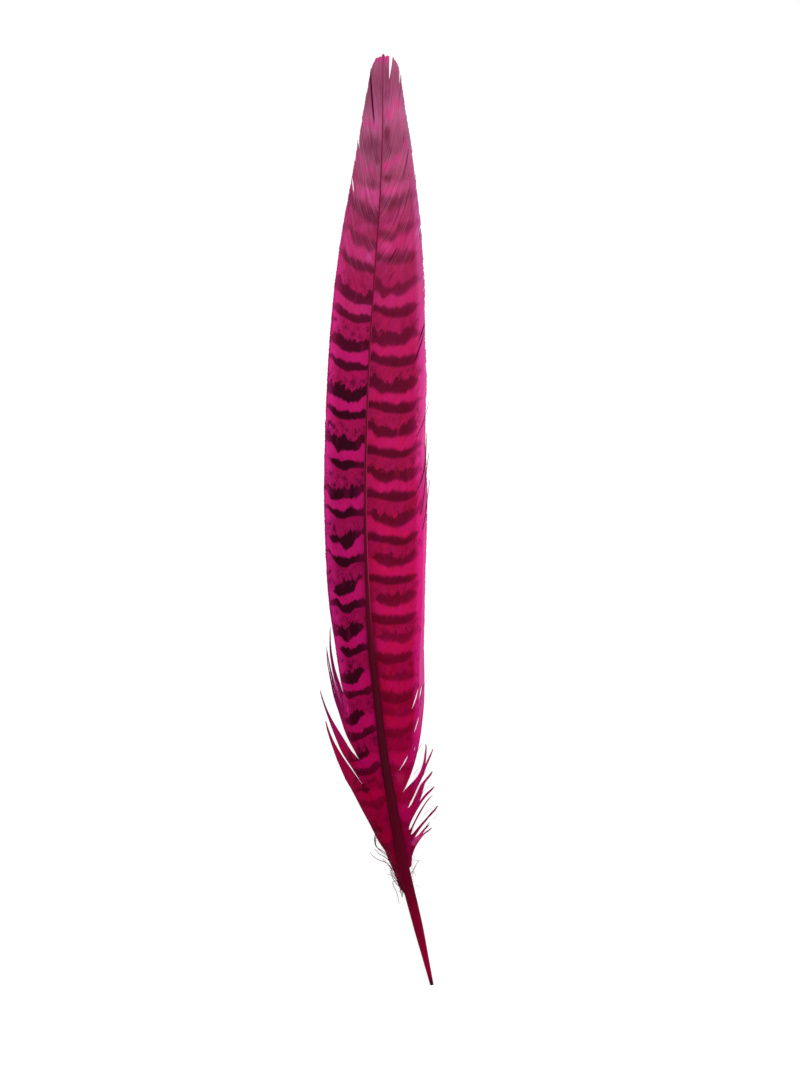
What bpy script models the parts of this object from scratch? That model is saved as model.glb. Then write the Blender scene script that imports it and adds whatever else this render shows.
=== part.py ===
"""A dyed pheasant tail feather, lying with its patterned side up.

One closed solid: a tapering shaft that ends in a bare quill, and a vane on each side of it. The
vanes are made of locks, bundles of barbs that lean towards the tip, held together near the shaft
and parted at their ends. At the foot of the vane the locks stand apart and end in points.

A place on the feather is given by two lengths: "along", from the middle of the feather towards
its tip, and "across", from the shaft's middle line outwards. The tip points along +Y and +Z is up.
"""

import math

import bmesh
import bpy

MM = 0.001

# ---- Driving sizes, in millimetres -------------------------------------------------------------

QUILL_END = -134.8  # along: the cut end of the bare quill
VANE_FOOT = -107.4  # along: where the first barbs leave the shaft
SHAFT_TIP = 134.5  # along: where the shaft ends between its last barbs

# The shaft's middle line, seen from above: (along, sideways), with the feather's right positive.
SHAFT_PATH = [
    (-134.8, 15.2), (-116.8, 11.0), (-101.5, 7.3), (-83.2, 3.9), (-64.9, 0.9), (-48.0, -1.1),
    (-35.4, -2.5), (-10.2, -3.8), (14.9, -4.0), (47.6, -2.9), (75.1, -1.1), (90.3, 0.0),
    (109.9, 0.8), (134.9, 1.1),
]
# Half the shaft's width: (along, half-width).
SHAFT_HALF_WIDTH = [
    (-134.8, 0.5), (-126.0, 0.95), (-116.8, 1.4), (-104.0, 1.6), (-95.0, 1.55), (-67.0, 1.1),
    (-50.0, 0.92), (-35.0, 0.78), (-10.0, 0.54), (20.0, 0.4), (50.0, 0.3), (100.0, 0.22),
    (134.9, 0.15),
]
# Height of the shaft's middle above the table: (along, height). It bows up between its two ends.
SHAFT_HEIGHT = [
    (-134.8, 0.5), (-125.0, 1.5), (-110.0, 3.0), (-90.0, 4.0), (-60.0, 4.3), (-20.0, 3.9),
    (20.0, 3.2), (60.0, 2.2), (100.0, 1.1), (134.9, 0.5),
]
SHAFT_DEPTH_SHARE = 0.85  # the shaft is a little less deep than it is wide
SHOULDER = 0.62  # where the shaft's shoulders are, as a share of its half-width
SHOULDER_DEPTH = 0.78  # and their height, as a share of its half-depth
SHAFT_EDGE_SHARE = 0.5  # the shaft's sides are at most this share of its half-depth thick
SHAFT_STANDS_PROUD = 0.06  # the shaft rises at least this far above the vanes' roots
SHAFT_STEP = 4.5  # spacing of the rings along the shaft

VANE_THICKNESS_AT_SHAFT = 0.55
VANE_THICKNESS_AT_RIM = 0.36
LEAST_UNDERSIDE = 0.05  # height of the vane's underside at the shaft where the shaft lies low
LOCK_CROWN = 0.14  # each lock is this much higher along its middle
# Height of the vane's underside at its rim: (along, height). It lies on the table past the foot.
RIM_HEIGHT = [(-105.0, 2.0), (-90.0, 1.2), (-75.0, 0.35), (-58.0, 0.0), (135.0, 0.0)]
# Half the vane's width, for its droop only: (along, left half, right half).
DROOP_WIDTH = [
    (-105.0, 3.0, 4.5), (-90.0, 9.0, 9.5), (-72.0, 14.5, 13.5), (-40.0, 12.6, 15.0),
    (0.0, 12.2, 17.0), (40.0, 12.2, 16.6), (75.0, 11.0, 13.3), (100.0, 7.8, 9.4),
    (120.0, 4.8, 6.0), (135.0, 2.2, 3.0),
]
FLAT_RIM_SHARE = 0.86  # past this share of the half-width the underside lies flat

# ---- The barbs that guide each vane ------------------------------------------------------------
# Each vane is a row of groups from its foot to its tip. A group is (locks in it, how far out its
# own locks hold together, how far out it holds to the next group, how much its locks narrow to
# points, guide barbs), with the shares counted from the shaft outwards. A guide barb is (root
# along, tip along, tip across, bend), where a positive bend hooks the barb towards the feather's
# tip.

LEFT_GROUPS = [
    # the foot of the vane, whose last barbs are the longest
    (5, 0.6, 0.4, 0.85, [
        (-107.4, -104.8, 2.9, 0.0), (-101.9, -97.6, 4.9, 0.0), (-97.5, -92.2, 6.0, 0.05),
        (-94.3, -85.9, 8.3, 0.1), (-91.4, -80.9, 10.4, 0.15), (-88.5, -74.3, 12.6, 0.2),
        (-85.6, -68.2, 14.2, 0.22), (-83.5, -63.2, 15.1, 0.25), (-81.7, -58.0, 15.8, 0.28),
    ]),
    # the long lock that stands off the vane
    (2, 0.7, 0.3, 0.9, [
        (-81.4, -49.6, 16.4, 0.3), (-79.8, -53.1, 15.5, 0.28), (-78.3, -56.9, 14.4, 0.25),
        (-76.9, -60.9, 12.5, 0.2), (-75.9, -64.4, 10.7, 0.15),
    ]),
    # the slim lock that lies along the vane's edge
    (1, 0.7, 0.45, 0.8, [(-75.6, -38.0, 12.9, 0.38), (-73.0, -34.0, 12.1, 0.38)]),
    # the closed vane
    (24, 0.86, 1.0, 0.05, [
        (-72.8, -52.2, 9.4, 0.2), (-66.7, -44.7, 10.0, 0.22), (-56.6, -33.7, 10.7, 0.22),
        (-46.1, -23.2, 11.6, 0.22), (-34.8, -11.6, 12.0, 0.22), (-1.2, 23.2, 12.3, 0.22),
        (15.6, 40.6, 12.2, 0.22), (41.2, 66.7, 11.7, 0.22), (58.0, 84.1, 10.6, 0.2),
        (74.8, 101.5, 8.4, 0.2), (92.2, 118.9, 5.7, 0.2), (101.2, 127.6, 4.2, 0.2),
        (107.3, 131.4, 3.4, 0.2), (114.5, 134.0, 2.1, 0.2), (121.8, 134.9, 1.1, 0.15),
        (129.0, 135.1, 0.55, 0.1), (134.5, 135.2, 0.3, 0.0),
    ]),
]
RIGHT_GROUPS = [
    # the foot of the vane, whose locks spread out
    (1, 0.6, 0.15, 0.5, [(-105.6, -103.6, 2.1, 0.0), (-101.0, -98.0, 3.4, 0.0)]),
    (1, 0.7, 0.15, 0.92, [
        (-100.8, -90.6, 8.6, -0.12), (-98.4, -89.1, 9.9, -0.12), (-96.0, -90.8, 6.5, -0.05),
    ]),
    (1, 0.7, 0.15, 0.9, [
        (-95.8, -85.0, 11.0, -0.03), (-95.2, -82.6, 12.8, -0.04), (-94.6, -83.3, 11.6, -0.05),
    ]),
    (2, 0.5, 0.4, 0.92, [
        (-94.4, -80.4, 10.8, -0.08), (-92.8, -77.2, 12.5, -0.08), (-91.1, -78.8, 10.6, -0.05),
        (-89.5, -77.6, 11.0, -0.03), (-87.9, -79.4, 8.7, 0.0),
    ]),
    (1, 0.7, 0.15, 0.92, [
        (-87.6, -75.0, 11.0, 0.0), (-86.0, -71.9, 13.3, 0.02), (-84.4, -75.3, 9.4, 0.02),
    ]),
    (1, 0.7, 0.15, 0.92, [
        (-84.1, -70.6, 12.0, 0.02), (-83.1, -67.2, 13.8, 0.04), (-82.0, -71.8, 9.7, 0.05),
    ]),
    # the closed vane, up to the split beside the tip
    (25, 0.86, 0.55, 0.05, [
        (-81.7, -58.6, 11.6, 0.2), (-78.3, -55.7, 12.2, 0.2), (-71.1, -48.7, 13.3, 0.2),
        (-63.2, -37.7, 14.8, 0.2), (-47.0, -20.3, 16.2, 0.2), (-22.4, 5.8, 17.5, 0.2),
        (-5.0, 23.2, 16.8, 0.2), (12.7, 40.6, 16.6, 0.2), (26.1, 53.6, 15.5, 0.2),
        (38.8, 66.7, 14.6, 0.2), (55.9, 84.1, 12.3, 0.2), (73.6, 101.5, 9.5, 0.2),
        (91.0, 118.9, 6.6, 0.2), (99.7, 127.6, 5.2, 0.2), (105.5, 131.0, 4.6, 0.2),
        (110.2, 133.2, 3.8, 0.2), (113.5, 134.2, 3.2, 0.18), (115.7, 134.8, 2.8, 0.15),
    ]),
    # the narrow part of the tip between the split and the shaft
    (2, 0.86, 1.0, 0.05, [
        (116.3, 135.2, 1.8, 0.12), (121.8, 135.3, 1.2, 0.1), (129.0, 135.2, 0.6, 0.1),
        (134.5, 135.2, 0.3, 0.0),
    ]),
]
LOCK_ROWS = 7  # rows of faces along a lock, from the shaft to its tip
TIP_REACH = 1.02  # a lock's middle reaches a little past its corners
NARROWING_EASE = 1.3  # above 1, a lock narrows slowly at first and faster towards its point
SHARES = [row / LOCK_ROWS for row in range(LOCK_ROWS + 1)]  # of the way out along a lock


# ---- Curves ------------------------------------------------------------------------------------


def hermite(points, turns):
    """The smooth curve through (x, y) points with rising x that has these slopes at them."""
    xs = [p[0] for p in points]
    ys = [p[1] for p in points]

    def at(x):
        x = min(max(x, xs[0]), xs[-1])
        i = max(k for k in range(len(xs) - 1) if x >= xs[k])
        h = xs[i + 1] - xs[i]
        u = (x - xs[i]) / h
        return (
            ys[i] * (1 + 2 * u) * (1 - u) ** 2
            + turns[i] * h * u * (1 - u) ** 2
            + ys[i + 1] * u * u * (3 - 2 * u)
            + turns[i + 1] * h * u * u * (u - 1)
        )

    return at


def slope(a, b):
    return (b[1] - a[1]) / (b[0] - a[0])


def curve_through(points):
    """A curve that never overshoots its points, for widths and heights."""
    slopes = [slope(a, b) for a, b in zip(points, points[1:])]
    turns = [2 * a * b / (a + b) if a * b > 0 else 0.0 for a, b in zip(slopes, slopes[1:])]
    return hermite(points, [slopes[0], *turns, slopes[-1]])


def smooth_line_through(points):
    """A curve that keeps turning evenly, for the shaft's middle line."""
    turns = [slope(a, b) for a, b in zip(points, points[2:])]
    return hermite(points, [slope(*points[:2]), *turns, slope(*points[-2:])])


shaft_sideways = smooth_line_through(SHAFT_PATH)
shaft_half_width = curve_through(SHAFT_HALF_WIDTH)
shaft_height = curve_through(SHAFT_HEIGHT)
rim_height = curve_through(RIM_HEIGHT)
droop_width = {
    -1: curve_through([(p[0], p[1]) for p in DROOP_WIDTH]),
    1: curve_through([(p[0], p[2]) for p in DROOP_WIDTH]),
}


def on_plan(along, across):
    """(x, y) of a place on the feather, with across negative on its left."""
    lean = (shaft_sideways(along + 1) - shaft_sideways(along - 1)) / 2
    length = math.hypot(1, lean)
    return shaft_sideways(along) + across / length, along - across * lean / length


# ---- Heights -----------------------------------------------------------------------------------


def vane_levels(along, across, crown=0.0):
    """(underside, top) of the vane at a place on it."""
    side = -1 if across < 0 else 1
    share = min(abs(across) / droop_width[side](along), 1.0)
    fall = max(0.0, 1 - (share / FLAT_RIM_SHARE) ** 2)
    rim = rim_height(along)
    at_shaft = max(shaft_height(along) - VANE_THICKNESS_AT_SHAFT / 2, LEAST_UNDERSIDE)
    low = rim + (max(at_shaft, rim) - rim) * fall
    thick = VANE_THICKNESS_AT_SHAFT + (VANE_THICKNESS_AT_RIM - VANE_THICKNESS_AT_SHAFT) * share
    return low, low + thick + crown


def shaft_levels(along, share):
    """(underside, top) of the shaft at a share of its half-width."""
    middle = shaft_height(along)
    half_depth = shaft_half_width(along) * SHAFT_DEPTH_SHARE
    if abs(share) == 1:
        half_edge = min(VANE_THICKNESS_AT_SHAFT / 2, half_depth * SHAFT_EDGE_SHARE)
        return middle - half_edge, middle + half_edge
    least = VANE_THICKNESS_AT_SHAFT / 2 + SHAFT_STANDS_PROUD
    reach = max(half_depth * (1.0 if share == 0 else SHOULDER_DEPTH), least)
    return max(middle - reach, 0.0), middle + reach


# ---- The sheet: every point has a place on plan, an underside and a top ------------------------


class Sheet:
    """Faces laid out on plan, turned into a closed solid between two levels."""

    def __init__(self):
        self.places, self.lows, self.tops, self.faces = [], [], [], []

    def point(self, along, across, levels):
        x, y = on_plan(along, across)
        self.places.append((x, y))
        self.lows.append(levels[0])
        self.tops.append(levels[1])
        return len(self.places) - 1

    def face(self, *corners):
        """Adds a face, turned so that it is counter-clockwise seen from above."""
        area = 0.0
        for a, b in zip(corners, corners[1:] + corners[:1]):
            (ax, ay), (bx, by) = self.places[a], self.places[b]
            area += ax * by - bx * ay
        self.faces.append(corners if area > 0 else tuple(reversed(corners)))

    def join_rows(self, row_a, row_b):
        """Fills the strip between two rows of points that both run along the feather."""
        i = j = 0
        while i < len(row_a) - 1 or j < len(row_b) - 1:
            a_next = self.places[row_a[i + 1]][1] if i < len(row_a) - 1 else math.inf
            b_next = self.places[row_b[j + 1]][1] if j < len(row_b) - 1 else math.inf
            if a_next <= b_next:
                self.face(row_a[i], row_a[i + 1], row_b[j])
                i += 1
            else:
                self.face(row_a[i], row_b[j + 1], row_b[j])
                j += 1

    def solid(self):
        """A bmesh of the closed solid, in metres, centred over the origin and standing on z = 0."""
        xs = [p[0] for p in self.places]
        ys = [p[1] for p in self.places]
        middle = ((min(xs) + max(xs)) / 2, (min(ys) + max(ys)) / 2)
        ground = min(self.lows)
        bm = bmesh.new()
        tops, lows = [], []
        for (x, y), low, top in zip(self.places, self.lows, self.tops):
            place = ((x - middle[0]) * MM, (y - middle[1]) * MM)
            tops.append(bm.verts.new((*place, (top - ground) * MM)))
            lows.append(bm.verts.new((*place, (low - ground) * MM)))
        used = {}
        for corners in self.faces:
            bm.faces.new([tops[c] for c in corners])
            bm.faces.new([lows[c] for c in reversed(corners)])
            for a, b in zip(corners, corners[1:] + corners[:1]):
                used[(a, b)] = used.get((a, b), 0) + 1
        for a, b in used:
            if (b, a) not in used:
                bm.faces.new([lows[a], lows[b], tops[b], tops[a]])
        return bm


# ---- The vanes ---------------------------------------------------------------------------------


class Group:
    """A run of barbs on one side of the shaft, between two of its guide barbs."""

    def __init__(self, side, guides):
        self.side = side
        self.first, self.last = guides[0][0], guides[-1][0]
        self.tip_along = curve_through([(g[0], g[1]) for g in guides])
        self.tip_across = curve_through([(g[0], g[2]) for g in guides])
        self.bend = curve_through([(g[0], g[3]) for g in guides])

    def barb(self, root, share):
        """(along, across) of the point at a share of the way out along the barb from this root."""
        start = shaft_half_width(root)
        tip_along, tip_across, bend = self.tip_along(root), self.tip_across(root), self.bend(root)
        elbow_along = root + (tip_along - root) * (0.5 - bend)
        elbow_across = start + (tip_across - start) * (0.5 + bend)
        near, mid, far = (1 - share) ** 2, 2 * share * (1 - share), share**2
        along = near * root + mid * elbow_along + far * tip_along
        across = near * start + mid * elbow_across + far * tip_across
        return along, across * self.side


class Lock:
    """A bundle of barbs between two roots of a group."""

    def __init__(self, group, start, end, narrow):
        self.group, self.start, self.end, self.narrow = group, start, end, narrow
        self.middle = (start + end) / 2

    def edge_place(self, root, share, hold):
        """A place on the lock's edge, drawn in to its middle past where it holds to the next."""
        along, across = self.group.barb(root, share)
        mid_along, mid_across = self.group.barb(self.middle, share)
        pull = self.narrow * ((share - hold) / (1 - hold)) ** NARROWING_EASE
        return along + (mid_along - along) * pull, across + (mid_across - across) * pull


def put(sheet, place, crown=0.0):
    return sheet.point(*place, vane_levels(*place, crown))


def seam_between(sheet, below, above, hold):
    """The points that two neighbouring locks share, from the shaft out to where they part."""
    seam = []
    for share in SHARES:
        if share <= hold:
            here = below.group.barb(below.end, share)
            there = above.group.barb(above.start, share)
            seam.append(put(sheet, ((here[0] + there[0]) / 2, (here[1] + there[1]) / 2)))
    return seam


def edge_line(sheet, lock, root, seam, hold):
    """A lock's whole edge: the seam, then its own line out to its tip."""
    own = [put(sheet, lock.edge_place(root, share, hold)) for share in SHARES[len(seam) :]]
    return seam + own


def end_line(sheet, lock, root):
    """The edge of the first or the last lock of a vane, which has no neighbour there."""
    return [put(sheet, lock.group.barb(root, share)) for share in SHARES]


def middle_line(sheet, lock):
    """The raised points along a lock's middle, which reaches a little past its corners."""
    line = [put(sheet, lock.group.barb(lock.middle, SHARES[0]))]
    for share in SHARES[1:-1]:
        line.append(put(sheet, lock.group.barb(lock.middle, share), LOCK_CROWN))
    return [*line, put(sheet, lock.group.barb(lock.middle, TIP_REACH))]


def locks_of(side, groups):
    """The vane's locks in order, and how far out each one holds to the next."""
    locks, holds = [], []
    for count, hold, group_hold, narrow, guides in groups:
        group = Group(side, guides)
        step = (group.last - group.first) / count
        for k in range(count):
            start = group.first + k * step
            locks.append(Lock(group, start, start + step, narrow))
        holds += [hold] * (count - 1) + [group_hold]
    return locks, holds


def add_vane(sheet, side, groups):
    """Adds one vane and returns the points along its root, from its foot to its tip."""
    locks, holds = locks_of(side, groups)
    low_lines, high_lines = [end_line(sheet, locks[0], locks[0].start)], []
    for below, above, hold in zip(locks, locks[1:], holds):
        seam = seam_between(sheet, below, above, hold)
        high_lines.append(edge_line(sheet, below, below.end, seam, hold))
        low_lines.append(edge_line(sheet, above, above.start, seam, hold))
    high_lines.append(end_line(sheet, locks[-1], locks[-1].end))
    roots = [low_lines[0][0]]
    for lock, low_line, high_line in zip(locks, low_lines, high_lines):
        mid_line = middle_line(sheet, lock)
        for line_a, line_b in ((low_line, mid_line), (mid_line, high_line)):
            for row in range(LOCK_ROWS):
                sheet.face(line_a[row], line_a[row + 1], line_b[row + 1], line_b[row])
        roots += [mid_line[0], high_line[0]]
    return roots


# ---- The shaft ---------------------------------------------------------------------------------


def shaft_row(sheet, share, stations):
    """A row of points along the shaft at a share of its half-width."""
    return [
        sheet.point(along, share * shaft_half_width(along), shaft_levels(along, share))
        for along in stations
    ]


def add_shaft(sheet, left_roots, right_roots):
    """Adds the quill and the shaft between the roots of the two vanes."""
    quill_steps = math.ceil((VANE_FOOT - QUILL_END) / SHAFT_STEP)
    quill = [QUILL_END + (VANE_FOOT - QUILL_END) * k / quill_steps for k in range(quill_steps)]
    steps = math.ceil((SHAFT_TIP - VANE_FOOT) / SHAFT_STEP)
    shaft = [VANE_FOOT + (SHAFT_TIP - VANE_FOOT) * k / steps for k in range(steps + 1)]
    left_edge = shaft_row(sheet, -1, quill) + left_roots
    right_edge = shaft_row(sheet, 1, quill) + right_roots
    inner = [shaft_row(sheet, share, quill + shaft) for share in (-SHOULDER, 0, SHOULDER)]
    for row_a, row_b in zip([left_edge, *inner], [*inner, right_edge]):
        sheet.join_rows(row_a, row_b)


def dyed_material(name, colour, roughness):
    material = bpy.data.materials.new(name)
    material.use_nodes = True
    shader = material.node_tree.nodes["Principled BSDF"]
    shader.inputs["Base Color"].default_value = (*colour, 1)
    shader.inputs["Roughness"].default_value = roughness
    shader.inputs["Metallic"].default_value = 0.0
    return material


def main():
    for obj in list(bpy.data.objects):
        bpy.data.objects.remove(obj, do_unlink=True)
    sheet = Sheet()
    left_roots = add_vane(sheet, -1, LEFT_GROUPS)
    right_roots = add_vane(sheet, 1, RIGHT_GROUPS)
    add_shaft(sheet, left_roots, right_roots)
    bm = sheet.solid()
    bmesh.ops.triangulate(bm, faces=bm.faces)
    mesh = bpy.data.meshes.new("feather")
    bm.to_mesh(mesh)
    bm.free()
    mesh.shade_smooth()
    mesh.materials.append(dyed_material("dyed_vane", (0.27, 0.007, 0.085), 0.55))
    feather = bpy.data.objects.new("feather", mesh)
    bpy.context.scene.collection.objects.link(feather)


main()
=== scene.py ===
# %% [markdown]
# # A dyed pheasant tail feather
# The object is one long, narrow feather that lies flat with its patterned side up: a bare quill,
# a shaft that thins towards the tip, and on each side a vane made of hundreds of barbs. A drawing
# on a plain sheet would look dead at the rims and where barbs have parted. So this lesson loads
# the packed solid as a fixed frame, grows single barbs where the solid has plain sheets, and
# paints them with procedural materials.

# %% Load the packed feather
import math
import random
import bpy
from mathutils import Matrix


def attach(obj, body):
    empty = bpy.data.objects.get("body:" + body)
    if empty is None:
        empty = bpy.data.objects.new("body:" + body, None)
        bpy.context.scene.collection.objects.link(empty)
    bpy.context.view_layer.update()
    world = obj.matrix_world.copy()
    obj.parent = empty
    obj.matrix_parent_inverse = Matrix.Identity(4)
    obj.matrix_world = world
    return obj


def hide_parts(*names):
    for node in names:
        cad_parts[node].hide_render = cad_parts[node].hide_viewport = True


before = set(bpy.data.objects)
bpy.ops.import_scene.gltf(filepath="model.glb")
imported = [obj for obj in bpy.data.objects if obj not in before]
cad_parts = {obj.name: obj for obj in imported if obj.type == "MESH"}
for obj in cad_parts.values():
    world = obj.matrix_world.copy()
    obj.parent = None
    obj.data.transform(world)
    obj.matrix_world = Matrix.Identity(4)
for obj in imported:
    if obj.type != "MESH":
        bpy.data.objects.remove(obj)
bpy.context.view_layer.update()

from types import SimpleNamespace

import bmesh
import bpy
import numpy as np
from mathutils import Vector

MM = 0.001

# %% [markdown]
# ## Driving sizes
# A place on a feather is easiest to give by two lengths: "along", from the feather's middle
# towards its tip, and "across", from the shaft's middle line outwards. Splines drawn by hand in
# the viewport would do as well, but a short table can be read and changed. These are the same
# named sizes, in millimetres, that the solid was made from, so everything grown here lands on it.

# %% The shaft's sizes
QUILL_END = -134.8
SHAFT_TIP = 134.5
SHAFT_DEPTH_SHARE = 0.85  # its depth against its width
# (along, sideways) of the shaft's middle line
SHAFT_PATH = [
    (-134.8, 15.2), (-116.8, 11.0), (-101.5, 7.3), (-83.2, 3.9), (-64.9, 0.9), (-48.0, -1.1),
    (-35.4, -2.5), (-10.2, -3.8), (14.9, -4.0), (47.6, -2.9), (75.1, -1.1), (90.3, 0.0),
    (109.9, 0.8), (134.9, 1.1),
]
# (along, half-width)
SHAFT_HALF_WIDTH = [
    (-134.8, 0.5), (-126.0, 0.95), (-116.8, 1.4), (-104.0, 1.6), (-95.0, 1.55), (-67.0, 1.1),
    (-50.0, 0.92), (-35.0, 0.78), (-10.0, 0.54), (20.0, 0.4), (50.0, 0.3), (100.0, 0.22),
    (134.9, 0.15),
]
# (along, height of the shaft's middle above the table)
SHAFT_HEIGHT = [
    (-134.8, 0.5), (-125.0, 1.5), (-110.0, 3.0), (-90.0, 4.0), (-60.0, 4.3), (-20.0, 3.9),
    (20.0, 3.2), (60.0, 2.2), (100.0, 1.1), (134.9, 0.5),
]
print("the shaft is", round(SHAFT_TIP - QUILL_END, 1), "mm long")

# %% The vanes' sizes
VANE_THICKNESS_AT_SHAFT = 0.55
VANE_THICKNESS_AT_RIM = 0.36
LEAST_UNDERSIDE = 0.05
FLAT_RIM_SHARE = 0.86  # from this share of its width outwards, a vane lies flat
RIM_HEIGHT = [(-105.0, 2.0), (-90.0, 1.2), (-75.0, 0.35), (-58.0, 0.0), (135.0, 0.0)]
# (along, left half, right half) of the vane's width, for its droop
DROOP_WIDTH = [
    (-105.0, 3.0, 4.5), (-90.0, 9.0, 9.5), (-72.0, 14.5, 13.5), (-40.0, 12.6, 15.0),
    (0.0, 12.2, 17.0), (40.0, 12.2, 16.6), (75.0, 11.0, 13.3), (100.0, 7.8, 9.4),
    (120.0, 4.8, 6.0), (135.0, 2.2, 3.0),
]
widest = max(left + right for along, left, right in DROOP_WIDTH)
print("the vanes are at most", round(widest, 1), "mm wide together")

# %% [markdown]
# ## Curves through a few points
# Sizes that change along the feather are given at a few points. Straight lines between them would
# leave corners in the rims, and a plain spline may swing past its points and make a bulge. In a
# Hermite curve the slopes at the points can be set: curve_through sets them so that it never
# swings past a point, and smooth_line_through so that a line keeps turning evenly.

# %% Hermite curves
def hermite(points, turns):
    """The smooth curve through (x, y) points with rising x that has these slopes at them."""
    xs, ys = np.array(points, float).T
    turns = np.array(turns)

    def at(x):
        x = np.clip(x, xs[0], xs[-1])
        i = np.clip(np.searchsorted(xs, x, side="right") - 1, 0, len(xs) - 2)
        h = xs[i + 1] - xs[i]
        u = (x - xs[i]) / h
        return (
            ys[i] * (1 + 2 * u) * (1 - u) ** 2
            + turns[i] * h * u * (1 - u) ** 2
            + ys[i + 1] * u * u * (3 - 2 * u)
            + turns[i + 1] * h * u * u * (u - 1)
        )

    return at


def slope(a, b):
    return (b[1] - a[1]) / (b[0] - a[0])


def curve_through(points):
    """A curve that never overshoots its points, for widths and heights."""
    slopes = [slope(a, b) for a, b in zip(points, points[1:])]
    turns = [2 * a * b / (a + b) if a * b > 0 else 0.0 for a, b in zip(slopes, slopes[1:])]
    return hermite(points, [slopes[0], *turns, slopes[-1]])


def smooth_line_through(points):
    """A curve that keeps turning evenly, for middle lines and the edges of tufts."""
    turns = [slope(a, b) for a, b in zip(points, points[2:])]
    return hermite(points, [slope(*points[:2]), *turns, slope(*points[-2:])])


height = float(curve_through(SHAFT_HEIGHT)(0.0))
print("half-way along, the shaft's middle is", round(height, 2), "mm above the table")

# %% The feather's curves
def column(table, number):
    """A curve through one column of a table, against the table's first column."""
    return curve_through([(row[0], row[number]) for row in table])


def smooth_step(x):
    x = np.clip(x, 0.0, 1.0)
    return x * x * (3 - 2 * x)


shaft_sideways = smooth_line_through(SHAFT_PATH)
shaft_half_width = curve_through(SHAFT_HALF_WIDTH)
shaft_height = curve_through(SHAFT_HEIGHT)
rim_height = curve_through(RIM_HEIGHT)
droop_width = {-1: column(DROOP_WIDTH, 1), 1: column(DROOP_WIDTH, 2)}
print("the shaft is", round(2 * float(shaft_half_width(-104.0)), 2), "mm wide at the vane's foot")

# %% [markdown]
# ## From the feather to the table
# The feather bends in a gentle S, and its vanes hang from the shaft and settle flat on the table
# at their rims. A Curve modifier could bend a straight feather in the same way, but then a place
# measured on the lying feather couldn't be found again. Two functions do it instead: on_plan goes
# from the feather to the table, and place_seen goes back. vane_levels says how high a vane lies.

# %% Places in plan
CENTRE = (0.096, 0.392)  # sideways and along, where the packed solid's own centre lies
NEARING_ROUNDS = 5  # each brings the place looked for at least ten times nearer


def lean_at(along):
    return (shaft_sideways(along + 1) - shaft_sideways(along - 1)) / 2


def on_plan(along, across):
    """(x, y) on the table of a place on the feather, across being negative on its left."""
    lean = lean_at(along)
    length = np.hypot(1, lean)
    return shaft_sideways(along) + across / length, along - across * lean / length


def seen_place(along, across):
    """(height up the table, distance out from the shaft at that height) of a place."""
    x, y = on_plan(along, across)
    return y, np.abs(x - shaft_sideways(y))


def place_seen(level, beside, side):
    """(along, signed across) of what is seen at this height, this far out from the shaft."""
    x = shaft_sideways(level) + side * beside
    along = level
    for _ in range(NEARING_ROUNDS):
        lean = lean_at(along)
        length = np.hypot(1, lean)
        across = (x - shaft_sideways(along)) * length
        along = level + across * lean / length
    return along, across


quill_x, quill_y = on_plan(QUILL_END, 0.0)
print("the quill ends at", round(float(quill_x), 1), round(float(quill_y), 1), "mm on the table")

# %% How high the vane lies
def in_world(along, across, height):
    """Places on the feather as metres in the packed model's frame."""
    x, y = on_plan(along, across)
    return np.column_stack([(x - CENTRE[0]) * MM, (y - CENTRE[1]) * MM, height * MM])


def vane_levels(along, across, side):
    """(underside, top) of the vane at a place on it."""
    share = np.minimum(np.abs(across) / droop_width[side](along), 1.0)
    fall = np.maximum(0.0, 1 - (share / FLAT_RIM_SHARE) ** 2)
    rim = rim_height(along)
    at_shaft = np.maximum(shaft_height(along) - VANE_THICKNESS_AT_SHAFT / 2, LEAST_UNDERSIDE)
    low = rim + (np.maximum(at_shaft, rim) - rim) * fall
    thick = VANE_THICKNESS_AT_SHAFT + (VANE_THICKNESS_AT_RIM - VANE_THICKNESS_AT_SHAFT) * share
    return low, low + thick


for beside in (0.0, 5.0, 10.0):
    underside = float(vane_levels(0.0, beside, -1)[0])
    print(beside, "mm out, the left vane's underside is", round(underside, 2), "mm high")

# %% [markdown]
# ## The markings, pair by pair
# This kind of feather is marked in pairs: a thin bar that runs out from the shaft, and above it,
# towards the tip, a thick ragged blotch. Both turn up towards the tip at the vane's rim. Stripes
# from a wave texture would be too even, and no two pairs are alike, so each is drawn by a row:
# where it stands in the middle of the vane, how dark it is, how far it stands towards the tip at
# seven places across the vane, and its thickness at those places. OFF is for a place that the
# marking doesn't reach.

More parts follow.
